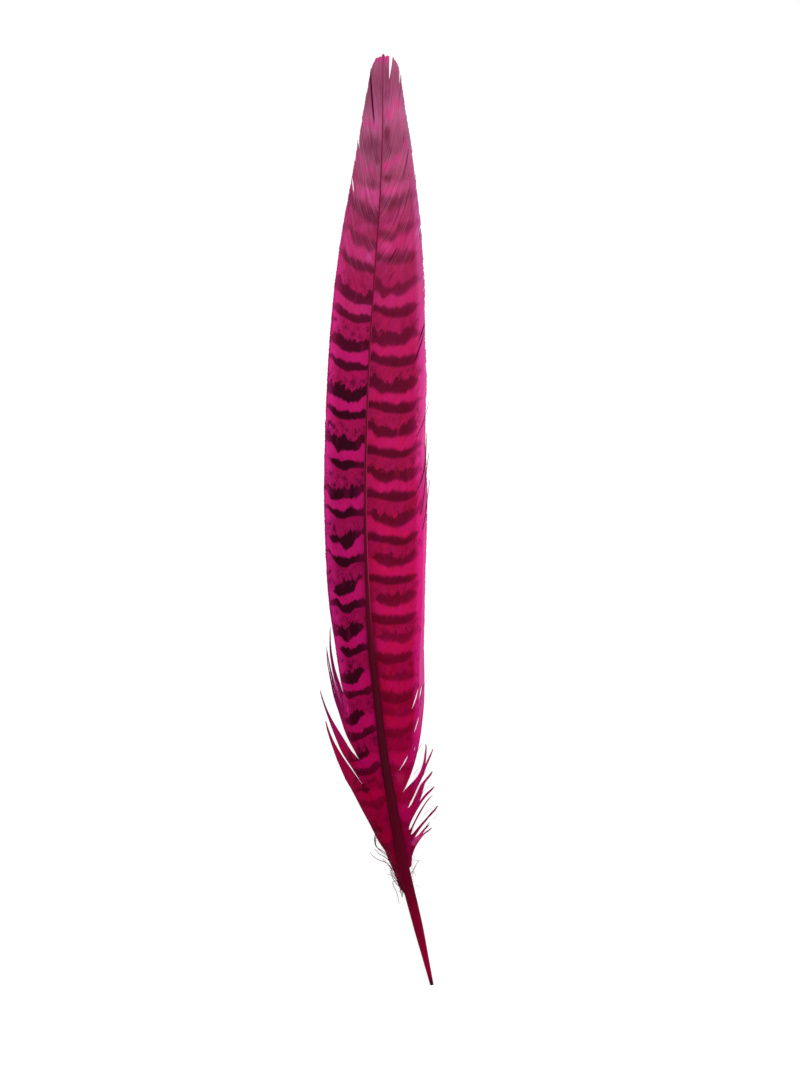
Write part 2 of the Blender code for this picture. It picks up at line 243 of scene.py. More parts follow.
# %% The left vane's markings
MARK_PLACES = (0.08, 0.2, 0.35, 0.5, 0.65, 0.8, 0.92)  # as shares of the vane's width
OFF = -0.6  # less than no thickness
LEFT_BARS = [
    (108.9, 0.55, (-1.6, -1.2, -0.5, 0.3, 0.8, 1.2, 1.5), (7.8, 8.1, 8.3, 8.3, 7.7, 7, 6.7)),
    (88.6, 0.75, (-0.8, 0, 0.5, 1.5, 2.7, 3.7, 4.9), (5, 5.2, 5.2, 4.8, 4.2, 3.5, 4.5)),
    (73.7, 0.8, (-1.2, -0.7, -0.2, 0.3, 1.4, 2.8, 4.3), (2.5, 2.2, 3.4, 3, 2.4, 2.8, 2.2)),
    (58.1, 0.85, (0, 0.2, 0, 0.6, 1.7, 2.7, 3.6), (1.9, 2.6, 2.5, 2.5, 2.5, 2.8, 1.6)),
    (44.2, 0.95, (-0.2, 0.1, 0.2, 0, 0.9, 1.7, 3.6), (1.6, 2.5, 2.5, 2.5, 2.8, 1.9, 1.6)),
    (30.3, 1, (0.2, -0.2, -0.1, 0, 0.3, 1.5, 2.8), (2.4, 1.9, 2.5, 2.8, 2.6, 2.4, 1.4)),
    (16.0, 1, (0, -0.1, 0.1, -0.3, 0.1, 1.5, 2.3), (2.5, 1.9, 2.6, 3, 2.2, 1.9, OFF)),
    (2.2, 1, (0, -0.1, 0.2, -0.8, -0.5, 0.5, 1.9), (2.4, 2.1, 2.8, 2.6, 2.6, 1.4, 1.4)),
    (-12.0, 1, (1, 0.9, 0.3, -0.4, 0, 1, 3.4), (2.5, 2.5, 2, 3, 3, 1.2, 1.2)),
    (-25.0, 1, (1.2, 0.9, 0.5, -0.7, -0.7, 1.2, 1), (2.8, 2.5, 2.4, 3, 2.5, 2.4, 1.6)),
    (-37.9, 1, (1.3, 1.2, 0.5, -0.3, -0.5, 0.2, 1), (2.5, 2.2, 2.4, 2, 3.1, 2.1, OFF)),
    (-49.9, 0.92, (2.1, 0.7, 0.3, -0.1, -0.5, -0.8, 0), (2.4, 2.8, 1.8, 1.4, 1.8, 2.5, 1.2)),
    (-61.5, 0.9, (1.4, 1.1, 0.6, -0.4, -1.1, -1.5, -1), (OFF, 2.4, 2.4, 2.2, 2.2, 2.6, 3)),
    (-72.3, 0.8, (1.9, 1.6, 0.4, -0.4, -0.7, -0.5, 0.3), (OFF, 2.5, 2.6, 2.2, 2.1, 2.1, OFF)),
    (-82.3, 0.55, (2.2, 1.9, 0.6, -0.2, 0, 0.4, 0.2), (OFF, 2.2, 3, 3, 1.9, 1.9, 2.4)),
]
LEFT_BLOTCHES = [
    (124.2, 0.5, (0, 0, 0, 0, 0, 0, 0), (12.7, 12.7, 12.7, 12.2, 11.7, 11.1, 10.6)),
    (97.7, 0.5, (-1.1, -1.4, -0.7, -0.2, 0.1, 1.5, 3), (OFF, 2, 1.5, 1.6, 0.8, 1.1, 1.3)),
    (80.6, 0.6, (-1.3, -1.3, 0.1, 0.2, 1.4, 4.4, 4.4), (3, 3.8, 3.2, 3.8, 3, 1, 3.1)),
    (64.1, 0.85, (0, -0.6, -0.2, 0.6, 1.7, 3, 4.9), (4.1, 2.3, 3.3, 3.6, 3.7, 3.2, 4.6)),
    (49.9, 0.95, (0.7, 0, 0, 0.5, 0.8, 2.6, 3), (3.6, 3.2, 2.8, 3.7, 3.2, 3.6, 2.9)),
    (36.1, 1, (1.3, -0.2, -0.4, -0.3, 1.2, 1.4, 2.2), (2.5, 3.3, 3.4, 3.2, 4.6, 3.3, 3.2)),
    (21.5, 1, (1.9, 0, -0.1, 0.4, 0.1, 1.8, 2.6), (2.7, 3.3, 3, 3.5, 3.9, 2.3, 3.1)),
    (7.6, 1, (1.5, 0.1, 0, -0.1, -0.2, -0.4, 2.1), (2.4, 3, 2.7, 2.9, 3.1, 3, 2.5)),
    (-6.6, 1, (3, 2.1, 0.9, 0.1, 0.9, 1.2, 2), (1.2, 1.8, 4.1, 4.7, 1.9, 2.9, OFF)),
    (-19.4, 1, (3.1, 2.8, 0.3, -0.4, -0.8, -1.5, -1.5), (OFF, 1.1, 3.1, 3, 3.9, 1.1, OFF)),
    (-32.0, 1, (1.3, 1, 0.6, -0.5, -1.6, -0.4, -0.7), (OFF, 1.2, 3.7, 3.9, 3.7, 2.4, 1.8)),
    (-44.4, 1, (1.2, 1, 0.8, -0.7, -1.4, -1.7, -1.5), (OFF, OFF, 1.9, 3.3, 3.6, 3, 1.9)),
    (-55.8, 1, (0.1, 0.1, 0.1, -0.2, -1.4, -2.2, -2.4), (OFF, OFF, OFF, 2.3, 3.4, 2.8, 2)),
    (-67.3, 0.95, (0.1, 0.1, 0.1, -0.2, -0.7, -2.3, -1.8), (OFF, OFF, OFF, 2.1, 2, 0.7, 2.5)),
    (-78.1, 0.85, (0.7, 0.4, 0.2, 0.2, 0.1, 0.1, -0.4), (OFF, OFF, OFF, OFF, 2.2, 1, 1.3)),
]
print("pairs of markings on the left:", len(LEFT_BARS))

# %% The right vane's markings
RIGHT_BARS = [
    (110.6, 0.55, (-0.8, -0.6, -0.2, 0.2, 0.4, 0.6, 0.8), (11.3, 11.1, 10.5, 9.8, 8.8, 7.7, 7.1)),
    (93.0, 0.8, (-0.5, -1.3, -1.2, -0.6, 0, 1.4, 1.9), (3.4, 4.3, 4.1, 4, 3.6, 3.7, 3.9)),
    (76.1, 0.75, (0, -0.5, -0.4, 0, 0.1, 0.7, 1.5), (2.5, 2.6, 3.3, 4.1, 3.7, 3.3, OFF)),
    (60.1, 0.85, (1.1, 0.5, -0.1, 0.1, 0.5, 1.6, 2.4), (1.9, 2.5, 3, 3.4, 3.6, 2.7, OFF)),
    (46.0, 0.9, (1.2, 0.1, -0.1, -0.2, 0, 1, 1.8), (2.7, 2.8, 2.8, 3.5, 3.1, 3.4, OFF)),
    (32.1, 0.92, (1.4, 0.7, 0.4, 0, 0.3, 1, 3.1), (2.5, 2.1, 3.2, 2.7, 3.4, 2.8, 0.9)),
    (19.2, 0.92, (1.1, 0.5, 0.1, -0.1, -0.1, 1.1, 2.9), (2.7, 2.4, 2.8, 2.8, 2.4, 1.9, 2.1)),
    (6.9, 0.9, (1, 0.1, -0.1, -0.1, -0.2, 0.6, 1.4), (3, 1.9, 2.6, 3.4, 2.7, 2, OFF)),
    (-6.2, 0.9, (1.5, 0.9, 0.5, 0.1, 0, 1.7, 2.5), (2.3, 2.4, 2.1, 2.8, 2.4, 2.8, OFF)),
    (-17.5, 0.9, (0.8, 0.4, -0.2, 0.1, 0.2, 0.9, 1.7), (2.3, 2.3, 2.5, 2.6, 2.2, 2.1, OFF)),
    (-28.9, 0.85, (0.9, 0.1, -0.1, 0, 0.1, 1, 1.8), (3, 2.7, 3, 2.7, 2.8, 2.2, OFF)),
    (-40.1, 0.8, (1.1, 0.2, -0.2, 0, 0.2, 1.2, 2), (2.6, 3.2, 3.3, 2.7, 2.6, 1.5, OFF)),
    (-51.0, 0.75, (0.6, 0, -0.3, -0.6, -0.2, 0.9, 3.1), (2.6, 3.2, 3.7, 3.2, 2.8, 3, 1.9)),
    (-61.5, 0.65, (0.6, 0.2, -0.2, -0.2, 0.6, 1.6, 2.6), (2.8, 3.1, 3.1, 3.1, 2.4, 2.4, 1.9)),
    (-72.1, 0.45, (1.2, 0.8, 0.6, 0.4, 0.4, 0.8, 1.6), (2.6, 2.6, 2.4, 1.8, 1.8, 2, 1.6)),
]
RIGHT_BLOTCHES = [
    (125.7, 0.45, (0, 0, 0, 0, 0, 0, 0), (9.6, 9.6, 9.6, 9.2, 9, 8.6, 8.6)),
    (99.1, 0.4, (-0.4, -0.7, 0, -0.1, 0.1, 0.2, 0.3), (OFF, 3, 3.4, 3.4, 3.3, OFF, OFF)),
    (83.7, 0.65, (-1.1, -1.7, -2, 0.5, 0.6, 1.4, 2.3), (2.1, 3.9, 2.5, 3.1, 3.4, 2, 2.4)),
    (66.9, 0.75, (1.1, -1.4, -0.5, -0.4, 0.6, 2.4, 3), (3.7, 3.5, 1.9, 4, 3.2, 3, 1.2)),
    (52.2, 0.85, (1, -0.4, 0.2, 0, 0.6, 2.3, 1.8), (4.2, 3.5, 3.7, 3.9, 3.9, 3.5, 1.6)),
    (37.9, 0.9, (2, 0.9, 0, 0.6, 0.8, 1.9, 2.7), (3.8, 4.1, 2.2, 3.8, 3.5, 3.3, OFF)),
    (24.5, 0.88, (2.9, 0.9, 0.8, 0.2, 1.4, 1.9, 2.7), (2.4, 3.3, 3.2, 1.7, 3.6, 2.8, OFF)),
    (12.8, 0.88, (1.8, -0.2, -0.6, 0.2, -0.1, 0.5, 2.1), (2.1, 2.5, 3.4, 2.6, 3.4, 3.4, 2)),
    (-0.4, 0.85, (2.5, 1, 0.3, -0.4, 0.7, 2, 2.8), (1.3, 3, 3.3, 2.9, 3.5, 2.2, OFF)),
    (-12.2, 0.82, (1.5, 1.2, 0.4, 0, 0.3, 1.8, 2.6), (OFF, 3.2, 3.4, 2.8, 2.8, 2.8, OFF)),
    (-23.7, 0.8, (1, 0.7, 0.3, 0.2, 0.6, 1.9, 2.7), (OFF, 2.1, 3, 3, 2.6, 2.8, OFF)),
    (-34.4, 0.65, (0.9, 0.6, 0.6, 0.2, 0, 1.2, 2.6), (OFF, 2.2, 2.5, 2.8, 2.4, 2.2, 1.4)),
    (-45.5, 0.6, (0.4, 0.1, -0.1, -0.1, 0.2, 0.2, 0.6), (OFF, 1.3, 1.9, 1.9, 2.4, 2, 0.7)),
    (-56.2, 0.35, (0.5, 0.3, 0, 0, 0, 0.3, 1), (1.4, 1.4, 1.4, 1.4, 1.4, 1.4, 1.4)),
    (-66.9, 0.25, (1, 0.6, 0.3, 0, 0.3, 0.8, 1.2), (1.4, 1.4, 1.4, 1.4, 1.4, 1.4, 1.4)),
]
print("pairs of markings on the right:", len(RIGHT_BARS))

# %% [markdown]
# ## Fields for the material
# A material can't look up a table, but it can read values that each barb carries. One value is
# the phase, which counts the pairs: it is a whole number in the middle of a bar. The others are
# the thickness and the darkness of the nearest bar and blotch. The material then only asks how
# far the phase is from a whole number, so the edges stay sharp at any distance.

# %% The width of the closed vane
BLOTCH_PHASE = 0.4  # of a pair's spacing, from a bar up to its blotch
# (along, left half, right half) of the closed vane
PATTERN_WIDTH = [
    (-110.0, 3.5, 4.0), (-90.0, 7.0, 7.0), (-75.0, 11.0, 8.0), (-70.0, 10.6, 8.6),
    (-58.0, 10.3, 11.6), (-45.0, 10.2, 13.3), (-35.0, 10.7, 14.8), (-20.0, 11.7, 16.3),
    (5.0, 12.2, 17.3), (25.0, 12.3, 16.5), (40.0, 12.2, 16.5), (54.0, 11.9, 15.5),
    (67.0, 11.6, 14.6), (84.0, 10.6, 12.3), (101.5, 8.4, 9.5), (119.0, 5.7, 6.6),
    (127.6, 4.2, 5.2), (135.0, 2.4, 3.2),
]
pattern_width = {-1: column(PATTERN_WIDTH, 1), 1: column(PATTERN_WIDTH, 2)}
print("the right vane is", round(float(pattern_width[1](0.0)), 1), "mm wide in the middle")

# %% A marking as a fine row across the vane
LAST_PLACE, PLACE_STEP = 1.2, 0.02  # shares of the vane's width
FINE_PLACES = np.linspace(0, LAST_PLACE, round(LAST_PLACE / PLACE_STEP) + 1)
PAST_RIM = 1.05  # here a marking has its last value
THINNER_PAST_RIM = 0.8  # mm less than no thickness, so that a marking ends with the vane


def across_vane(values, ends):
    """A marking's seven values as a fine row across the vane, with its values at both ends."""
    places = [(0.0, ends[0]), *zip(MARK_PLACES, values), (PAST_RIM, ends[1]), (LAST_PLACE, ends[1])]
    return curve_through(places)(FINE_PLACES)


def thickness_rows(kind):
    rows = [row[3] for row in kind]
    return np.array([
        across_vane(row, (row[0], min(row[-1], 0) - THINNER_PAST_RIM)) for row in rows
    ])


print("each marking has", len(FINE_PLACES), "places across the vane")

# %% Reading the markings at every point
# (along, phase) of a straight line past the tip, and of one past the foot, after the last bar
TIP_LINE, FOOT_LINE = (138.0, -0.85), (-114.0, 1.6)


class Markings:
    """One vane's markings, as fields that the material can read at every point."""

    def __init__(self, side, bars, blotches):
        self.side = side
        rows = [(k, *row) for k, row in enumerate(bars)]
        rows += [(k - BLOTCH_PHASE, *row) for k, row in enumerate(blotches)]
        rows.sort()
        phases = [row[0] for row in rows]
        self.phases = np.array([TIP_LINE[1], *phases, len(bars) + FOOT_LINE[1]])
        lines = [row[1] + across_vane(row[3], (row[3][0], row[3][-1])) for row in rows]
        past_tip, past_foot = (np.full_like(FINE_PLACES, end[0]) for end in (TIP_LINE, FOOT_LINE))
        self.lines = np.array([past_tip, *lines, past_foot])
        self.thickness = [thickness_rows(kind) for kind in (bars, blotches)]
        self.darkness = [np.array([row[1] for row in kind]) for kind in (bars, blotches)]

    def fields(self, along, across):
        """(phase, bar's half-thickness, blotch's), (bar's darkness, blotch's, width share)."""
        along, out = seen_place(along, across)
        share = out / pattern_width[self.side](along)
        place = np.clip(share, 0, LAST_PLACE - PLACE_STEP / 2) / PLACE_STEP
        low, mix = place.astype(int), place % 1

        def between(rows):
            return rows[:, low] * (1 - mix) + rows[:, low + 1] * mix

        lines = between(self.lines)
        after = np.clip((lines > along).sum(0), 1, len(lines) - 1)
        every = np.arange(len(along))
        upper, lower = lines[after - 1, every], lines[after, every]
        per_mm = (self.phases[after] - self.phases[after - 1]) / (upper - lower)
        phase = self.phases[after - 1] + (upper - along) * per_mm
        bars, darks = [phase], []
        for rows, dark, offset in zip(self.thickness, self.darkness, (0.0, BLOTCH_PHASE)):
            nearest = np.clip(np.rint(phase + offset), 0, len(rows) - 1).astype(int)
            bars.append(between(rows)[nearest, every] / 2 * per_mm)
            darks.append(dark[nearest])
        return np.column_stack(bars), np.column_stack([*darks, share])


markings = {
    -1: Markings(-1, LEFT_BARS, LEFT_BLOTCHES),
    1: Markings(1, RIGHT_BARS, RIGHT_BLOTCHES),
}
reading = markings[-1].fields(np.array([0.0]), np.array([-2.0]))[0]
print("2 mm left of the shaft's middle, the phase is", round(float(reading[0, 0]), 2))

# %% [markdown]
# ## Dabs of paler and duller dye
# Near the tip the dye took unevenly, in soft patches of hot pink and dusky mauve. A noise texture
# makes such patches too, but it wouldn't put them where they are. Each is a soft oval instead,
# given by a row: (along, across, half-length, half-width, strength), with pink above 0 and dusky
# below. The strengths of all the ovals add up at each point of a barb.

# %% The dabs
LEFT_DABS = [
    (133.9, 1.3, 1.5, 2.0, 0.9), (127.0, 1.6, 2.6, 1.6, -0.4), (122.0, 3.0, 2.0, 0.5, -0.7),
    (114.8, 4.2, 1.2, 2.0, 0.8), (113.6, 1.6, 1.2, 1.6, 0.7), (108.7, 2.9, 3.6, 3.2, -0.7),
    (103.8, 1.4, 2.0, 1.2, -0.6), (105.0, 6.0, 1.8, 1.0, 0.7), (101.6, 3.4, 1.5, 2.6, 0.7),
    (98.4, 1.0, 1.2, 0.8, 0.5), (97.4, 2.0, 1.6, 1.4, -0.8), (98.0, 5.6, 2.2, 1.2, -0.3),
    (94.8, 3.0, 1.2, 3.4, 0.9), (92.4, 0.8, 1.4, 0.8, 0.7), (84.6, 4.5, 1.4, 3.0, 0.5),
    (76.0, 2.0, 1.5, 1.1, 0.8), (-47.8, 11.7, 1.7, 0.4, 0.9), (-50.3, 11.1, 1.7, 0.4, 0.9),
    (-52.6, 10.4, 1.7, 0.35, 0.7), (-51.6, 9.6, 2.0, 0.35, 0.6), (-55.0, 8.9, 2.2, 0.35, 0.6),
]
RIGHT_DABS = [
    (134.0, 1.0, 1.8, 1.1, 1.0), (128.5, 1.5, 4.0, 1.0, -0.5), (131.0, 4.2, 2.4, 0.8, 0.3),
    (122.5, 1.4, 2.6, 1.4, -0.5), (120.6, 3.8, 2.2, 1.5, 0.7), (117.0, 1.8, 2.6, 1.5, 0.8),
    (112.0, 1.4, 3.4, 1.1, -0.9), (107.0, 2.4, 2.0, 1.4, -0.7), (113.5, 4.6, 4.0, 1.3, -0.35),
    (104.6, 4.4, 2.0, 2.2, 0.7), (102.2, 1.5, 2.0, 1.5, 0.9), (108.6, 6.6, 2.4, 0.7, 0.7),
    (99.2, 1.8, 1.5, 1.5, -0.9), (98.6, 5.0, 2.0, 1.6, 0.2), (95.2, 2.4, 1.4, 2.6, 0.8),
    (84.9, 2.6, 1.5, 3.0, 0.5), (79.3, 2.9, 1.5, 1.9, 0.8), (104.0, 8.4, 6.0, 0.8, 0.5),
    (-93.4, 4.2, 1.0, 1.1, 0.6), (-91.9, 5.6, 1.0, 1.2, 0.7),
    (-90.4, 7.2, 1.1, 1.3, 0.6), (-74.6, 3.6, 2.6, 2.0, 0.3),
]
DAB_FIRMNESS = 1.3  # 1 is as soft as a bell curve


def dabbed(dabs, along, across):
    """The strength of all the dabs together, at places on the feather."""
    level, beside = seen_place(along, across)
    total = np.zeros_like(level)
    for at, out, half_length, half_width, strength in dabs:
        away = ((level - at) / half_length) ** 2 + ((beside - out) / half_width) ** 2
        total += strength * np.exp(-(away**DAB_FIRMNESS))
    return total


print("dabs:", len(LEFT_DABS), "on the left,", len(RIGHT_DABS), "on the right")

# %% [markdown]
# ## Slits and shaded lines
# Barbs are hooked to their neighbours, but some hooks have come undone. There the vane opens in a
# slit, or one barb lies over the next and shades it: that shade is painted into the barbs' colour.
# Slits cut out of a finished sheet would have dead, straight edges. Here the barbs beside a slit
# make way for it, so its edges are whole barbs.

# %% Slits
SPLIT_SPREAD = 1.6  # barbs this far from a slit still make way for it
# (root along, from this share of the barb, to this, opening)
LEFT_SPLITS = [
    (84.2, 0.9, 1.0, 0.45), (79.0, 0.92, 1.0, 0.25), (73.8, 0.84, 0.95, 0.45),
    (5.6, 0.93, 1.0, 0.4),
]
RIGHT_SPLITS = [
    (115.8, 0.64, 1.0, 1.0), (102.2, 0.9, 1.0, 0.4), (88.5, 0.72, 0.9, 0.35),
    (70.4, 0.28, 0.5, 0.08), (-66.2, 0.52, 0.78, 0.4), (-68.6, 0.76, 0.92, 0.4),
    (-72.8, 0.54, 0.8, 0.35), (-75.1, 0.06, 0.4, 0.5), (-77.6, 0.5, 0.62, 0.2),
]


def make_way(splits, root, shares):
    """How far a barb is moved sideways, towards the tip, by the slits near it."""
    moved = np.zeros_like(shares)
    for at, start, end, opening in splits:
        near = math.exp(-(((root - at) / SPLIT_SPREAD) ** 2))
        progress = np.clip((shares - start) / (end - start), 0, 1)
        turn = math.pi if end < 1 else math.pi / 2
        moved += math.copysign(opening / 2, root - at) * near * np.sin(progress * turn)
    return moved


print("slits:", len(LEFT_SPLITS), "on the left,", len(RIGHT_SPLITS), "on the right")

# %% Shaded lines
# (root along, from this share of the barb, to this, strength, spread)
LEFT_SHADES = [
    (104.7, 0.5, 1.04, 2.0, 1.3), (98.0, 0.3, 0.9, 0.3, 0.5), (91.0, 0.2, 0.8, 0.3, 0.5),
    (76.0, 0.4, 0.9, 0.35, 0.5), (12.0, 0.5, 0.9, 0.25, 0.5),
]
RIGHT_SHADES = [
    (99.4, 0.85, 1.1, 0.8, 0.5), (95.0, 0.9, 1.1, 0.5, 0.5), (82.2, 0.68, 0.95, 0.8, 0.5),
    (78.0, 0.3, 0.8, 0.3, 0.5), (69.2, 0.26, 0.47, 1.2, 0.5), (64.0, 0.26, 0.38, 0.8, 0.5),
    (27.2, 0.74, 1.0, 1.7, 0.6), (29.6, 0.84, 1.08, 1.3, 0.6), (-70.8, 0.5, 1.0, 0.5, 0.5),
]


def shaded(shades, root, shares):
    """How much painted shade the shaded lines near a barb put on it, at shares of its length."""
    dark = np.zeros_like(shares)
    for at, start, end, strength, spread in shades:
        near = math.exp(-(((root - at) / spread) ** 2))
        progress = np.clip((shares - start) / (end - start), 0, 1)
        dark += strength * near * np.sin(progress * math.pi) ** 0.5
    return dark


print("shaded lines:", len(LEFT_SHADES), "on the left,", len(RIGHT_SHADES), "on the right")

# %% [markdown]
# ## Two kinds of bed for the barbs
# Where barbs are hooked together they make one smooth sheet, and at the foot they stand in loose
# tufts. A thousand barbs could be drawn one by one, or scattered by chance. Here both are a bed,
# which gives a barb's course from the place of its root, worked out between a few guides: that
# keeps the barbs in order, and a few numbers steer them all. A guide of the closed vane is
# (root along, tip along, tip across, bend).

# %% The guides of both closed vanes
LEFT_GUIDES = [
    (-72.8, -52.2, 9.4, 0.2), (-66.7, -44.7, 10.0, 0.22), (-56.6, -33.7, 10.7, 0.22),
    (-46.1, -23.2, 11.6, 0.22), (-34.8, -11.6, 12.0, 0.22), (-1.2, 23.2, 12.3, 0.22),
    (15.6, 40.6, 12.2, 0.22), (41.2, 66.7, 11.7, 0.22), (58.0, 84.1, 10.6, 0.2),
    (74.8, 101.5, 8.4, 0.2), (92.2, 118.9, 5.7, 0.2), (101.2, 127.6, 4.2, 0.2),
    (107.3, 131.4, 3.4, 0.2), (114.5, 134.0, 2.1, 0.2), (121.8, 134.9, 1.1, 0.15),
    (129.0, 135.1, 0.55, 0.1), (134.5, 135.2, 0.3, 0.0),
]
RIGHT_GUIDES = [
    (-81.2, -59.3, 12.3, 0.2), (-78.3, -56.6, 12.9, 0.2), (-71.1, -49.5, 13.8, 0.2),
    (-63.2, -38.6, 14.9, 0.2), (-47.0, -20.3, 16.3, 0.2), (-22.4, 5.8, 17.5, 0.2),
    (-5.0, 23.2, 16.8, 0.2), (12.7, 40.6, 16.6, 0.2), (26.1, 53.6, 15.5, 0.2),
    (38.8, 66.7, 14.6, 0.2), (55.9, 84.1, 12.3, 0.2), (73.6, 101.5, 9.5, 0.2),
    (91.0, 118.9, 6.6, 0.2), (99.7, 127.6, 5.2, 0.2), (105.5, 131.0, 4.6, 0.2),
    (110.2, 133.2, 3.8, 0.2), (113.5, 134.2, 3.1, 0.18), (116.0, 135.0, 2.3, 0.14),
    (118.5, 135.2, 1.6, 0.12), (121.8, 135.3, 1.2, 0.1), (129.0, 135.2, 0.6, 0.1),
    (134.5, 135.2, 0.3, 0.0),
]
# (root along, how much of its guide a barb grows along)
LEFT_REACH = [
    (-73.0, 0.985), (-56.0, 0.94), (-40.0, 0.96), (60.0, 0.965), (112.0, 0.99), (122.0, 0.96),
    (129.0, 0.88), (134.0, 0.7),
]
RIGHT_REACH = [
    (-82.0, 1.07), (-60.0, 1.06), (-30.0, 1.05), (0.0, 1.03), (60.0, 1.02), (112.0, 0.99),
    (116.0, 0.97), (122.0, 0.95), (129.0, 0.88), (134.0, 0.7),
]
print("guides:", len(LEFT_GUIDES), "on the left,", len(RIGHT_GUIDES), "on the right")

# %% The closed vane's bed
REACH_SPREAD = 0.004  # barbs and clumps differ in length by about this share


class ClosedVane:
    """The sheet of hooked barbs on one side of the shaft."""

    def __init__(self, side, guides, reach, splits, shades):
        self.side, self.splits, self.shades = side, splits, shades
        self.start, self.end = guides[0][0], guides[-1][0]
        self.tip_along, self.tip_across, self.bend = (column(guides, k) for k in (1, 2, 3))
        self.reach_at = curve_through(reach)

    def line(self, root, shares):
        """(along, signed across) at shares of the way out along the barb from this root."""
        start = shaft_half_width(root)
        tip_along, tip_across, bend = self.tip_along(root), self.tip_across(root), self.bend(root)
        elbow_along = root + (tip_along - root) * (0.5 - bend)
        elbow_across = start + (tip_across - start) * (0.5 + bend)
        near, mid, far = (1 - shares) ** 2, 2 * shares * (1 - shares), shares**2
        along = near * root + mid * elbow_along + far * tip_along
        across = near * start + mid * elbow_across + far * tip_across
        return np.array([along, across * self.side])

    def reach(self, root, rng):
        return self.reach_at(root) + rng.gauss(0, REACH_SPREAD)

    def shade(self, root, shares):
        return shaded(self.shades, root, shares)


left_closed = ClosedVane(-1, LEFT_GUIDES, LEFT_REACH, LEFT_SPLITS, LEFT_SHADES)
right_closed = ClosedVane(1, RIGHT_GUIDES, RIGHT_REACH, RIGHT_SPLITS, RIGHT_SHADES)
for bed in (left_closed, right_closed):
    print("a closed vane is rooted along", round(bed.end - bed.start, 1), "mm of the shaft")

# %% A tuft's bed
# painted shade: how dark a tuft's two edges are painted
TUFT_SHADE = 0.7
SHADED_LOW, SHADED_HIGH = 0.16, 0.1  # the shares of a tuft that its two dark edges take up
SHADE_STARTS = 0.2  # shares of the barb's length over which the dark edges begin


def path_through(side, seen):
    """(along, signed across) at shares of the way along a smooth line through seen places."""
    points = np.array(place_seen(*np.array(seen, float).T, side))
    way = np.concatenate([[0], np.cumsum(np.hypot(*np.diff(points, axis=1)))])
    way /= way[-1]
    curves = [smooth_line_through(list(zip(way, row))) for row in points]
    return lambda shares: np.array([curve(shares) for curve in curves])


class Tuft:
    """A bundle of barbs drawn between two edge barbs, with painted shade along its edges."""

    splits = ()

    def __init__(self, side, row):
        self.side = side
        self.start, self.end, self.fray, low_edge, high_edge = row
        self.edges = [
            path_through(side, [(root, float(shaft_half_width(root))), *places])
            for root, places in ((self.start, low_edge), (self.end, high_edge))
        ]

    def place(self, root):
        return (root - self.start) / (self.end - self.start)

    def line(self, root, shares):
        low, high = (edge(shares) for edge in self.edges)
        return low + (high - low) * self.place(root)

    def reach(self, root, rng):
        inside = min(self.place(root), 1 - self.place(root))
        return 1 - self.fray * rng.random() * smooth_step(8 * inside)

    def shade(self, root, shares):
        place = self.place(root)
        edge = max(1 - place / SHADED_LOW, 1 - (1 - place) / SHADED_HIGH, 0.0)
        return TUFT_SHADE * edge * smooth_step((shares - SHADE_STARTS) / SHADE_STARTS)


print("the outer edges of a tuft are shaded by", TUFT_SHADE)

# %% [markdown]
# ## Barbs as lines of points
# A barb starts inside the shaft and runs out along its bed. A thin sheet under the barbs could
# close the vane, but it would fill the slits too. Instead each barb is wide enough to lap over
# the next one and leans by the vane's slope. Small clumps of neighbours are drawn together near
# their ends, which parts the rim slightly, as on a real feather. Each point also carries what the
# materials need to know about it.

# %% How far a barb leans
LEVEL_STEP = 0.1  # how far to both sides of a barb the vane's slope is measured


def directions(line):
    way = np.gradient(line, axis=1)
    return way / np.hypot(*way)


def lean_on_vane(line, side):
    """How far a barb leans sideways, in radians, to lie flat on the vane's slope."""
    way = directions(line)

    def level(step):
        under, top = vane_levels(line[0] - step * way[1], line[1] + step * way[0], side)
        return (under + top) / 2

    return np.arctan((level(-LEVEL_STEP) - level(LEVEL_STEP)) / (2 * LEVEL_STEP))


leans = lean_on_vane(left_closed.line(0.0, np.linspace(0, 1, 9)), -1)
print("a barb of the left vane leans by up to", round(math.degrees(np.abs(leans).max())), "degrees")

# %% The lines and what rides on them
LEAST_HEIGHT = 0.12  # of a barb's middle above the table


class Lines:
    """Lines of points with the attributes that ride on them."""

    def __init__(self):
        self.sizes, self.points = [], []
        self.carried = {
            name: [] for name in ("half_width", "lean", "out", "barb", "bars", "darks", "paint")
        }

    def add(self, side, line, widths, heights, root, shade=0.0):
        """Adds a line of (along, signed across), with its widths and its heights."""
        along, across = line
        run = np.concatenate([[0], np.cumsum(np.hypot(*np.diff(line, axis=1)))])
        dabs = dabbed(LEFT_DABS if side < 0 else RIGHT_DABS, along, across)
        bars, darks = markings[side].fields(along, across)
        lean = lean_on_vane(line, side)
        self.sizes.append(len(run))
        self.points.append(in_world(along, across, np.maximum(heights, LEAST_HEIGHT)))
        for name, values in (
            ("half_width", widths / 2 / np.cos(lean) * MM),
            ("lean", lean),
            ("out", np.linspace(0, 1, len(run))),
            ("barb", np.column_stack([np.full_like(run, root), run, along])),
            ("bars", bars),
            ("darks", darks),
            ("paint", np.column_stack([dabs, shade + 0 * run, across])),
        ):
            self.carried[name].append(values)


print("each point of a barb carries", ", ".join(Lines().carried))

# %% Clumps of barbs
BARB_SPACING = 0.42  # along the shaft, from one barb to the next
CLUMP_SIZES = (3, 9)  # barbs
CLUMP_HOLDS = (0.75, 0.95)  # from here on, as a share of a barb, its clump draws it in
CLUMP_PULL, CLUMP_SUDDENNESS = 0.2, 1.3  # how far it draws a barb in, at most
ROOT_INSIDE_SHAFT = 0.4  # a barb starts at this share of the shaft's half-width


def clumps_in(bed, rng):
    """Splits a bed's roots into small runs of neighbouring barbs."""
    at = bed.start
    while at < bed.end - 1e-6:
        end = min(at + rng.uniform(*CLUMP_SIZES) * BARB_SPACING, bed.end)
        yield at, end
        at = end


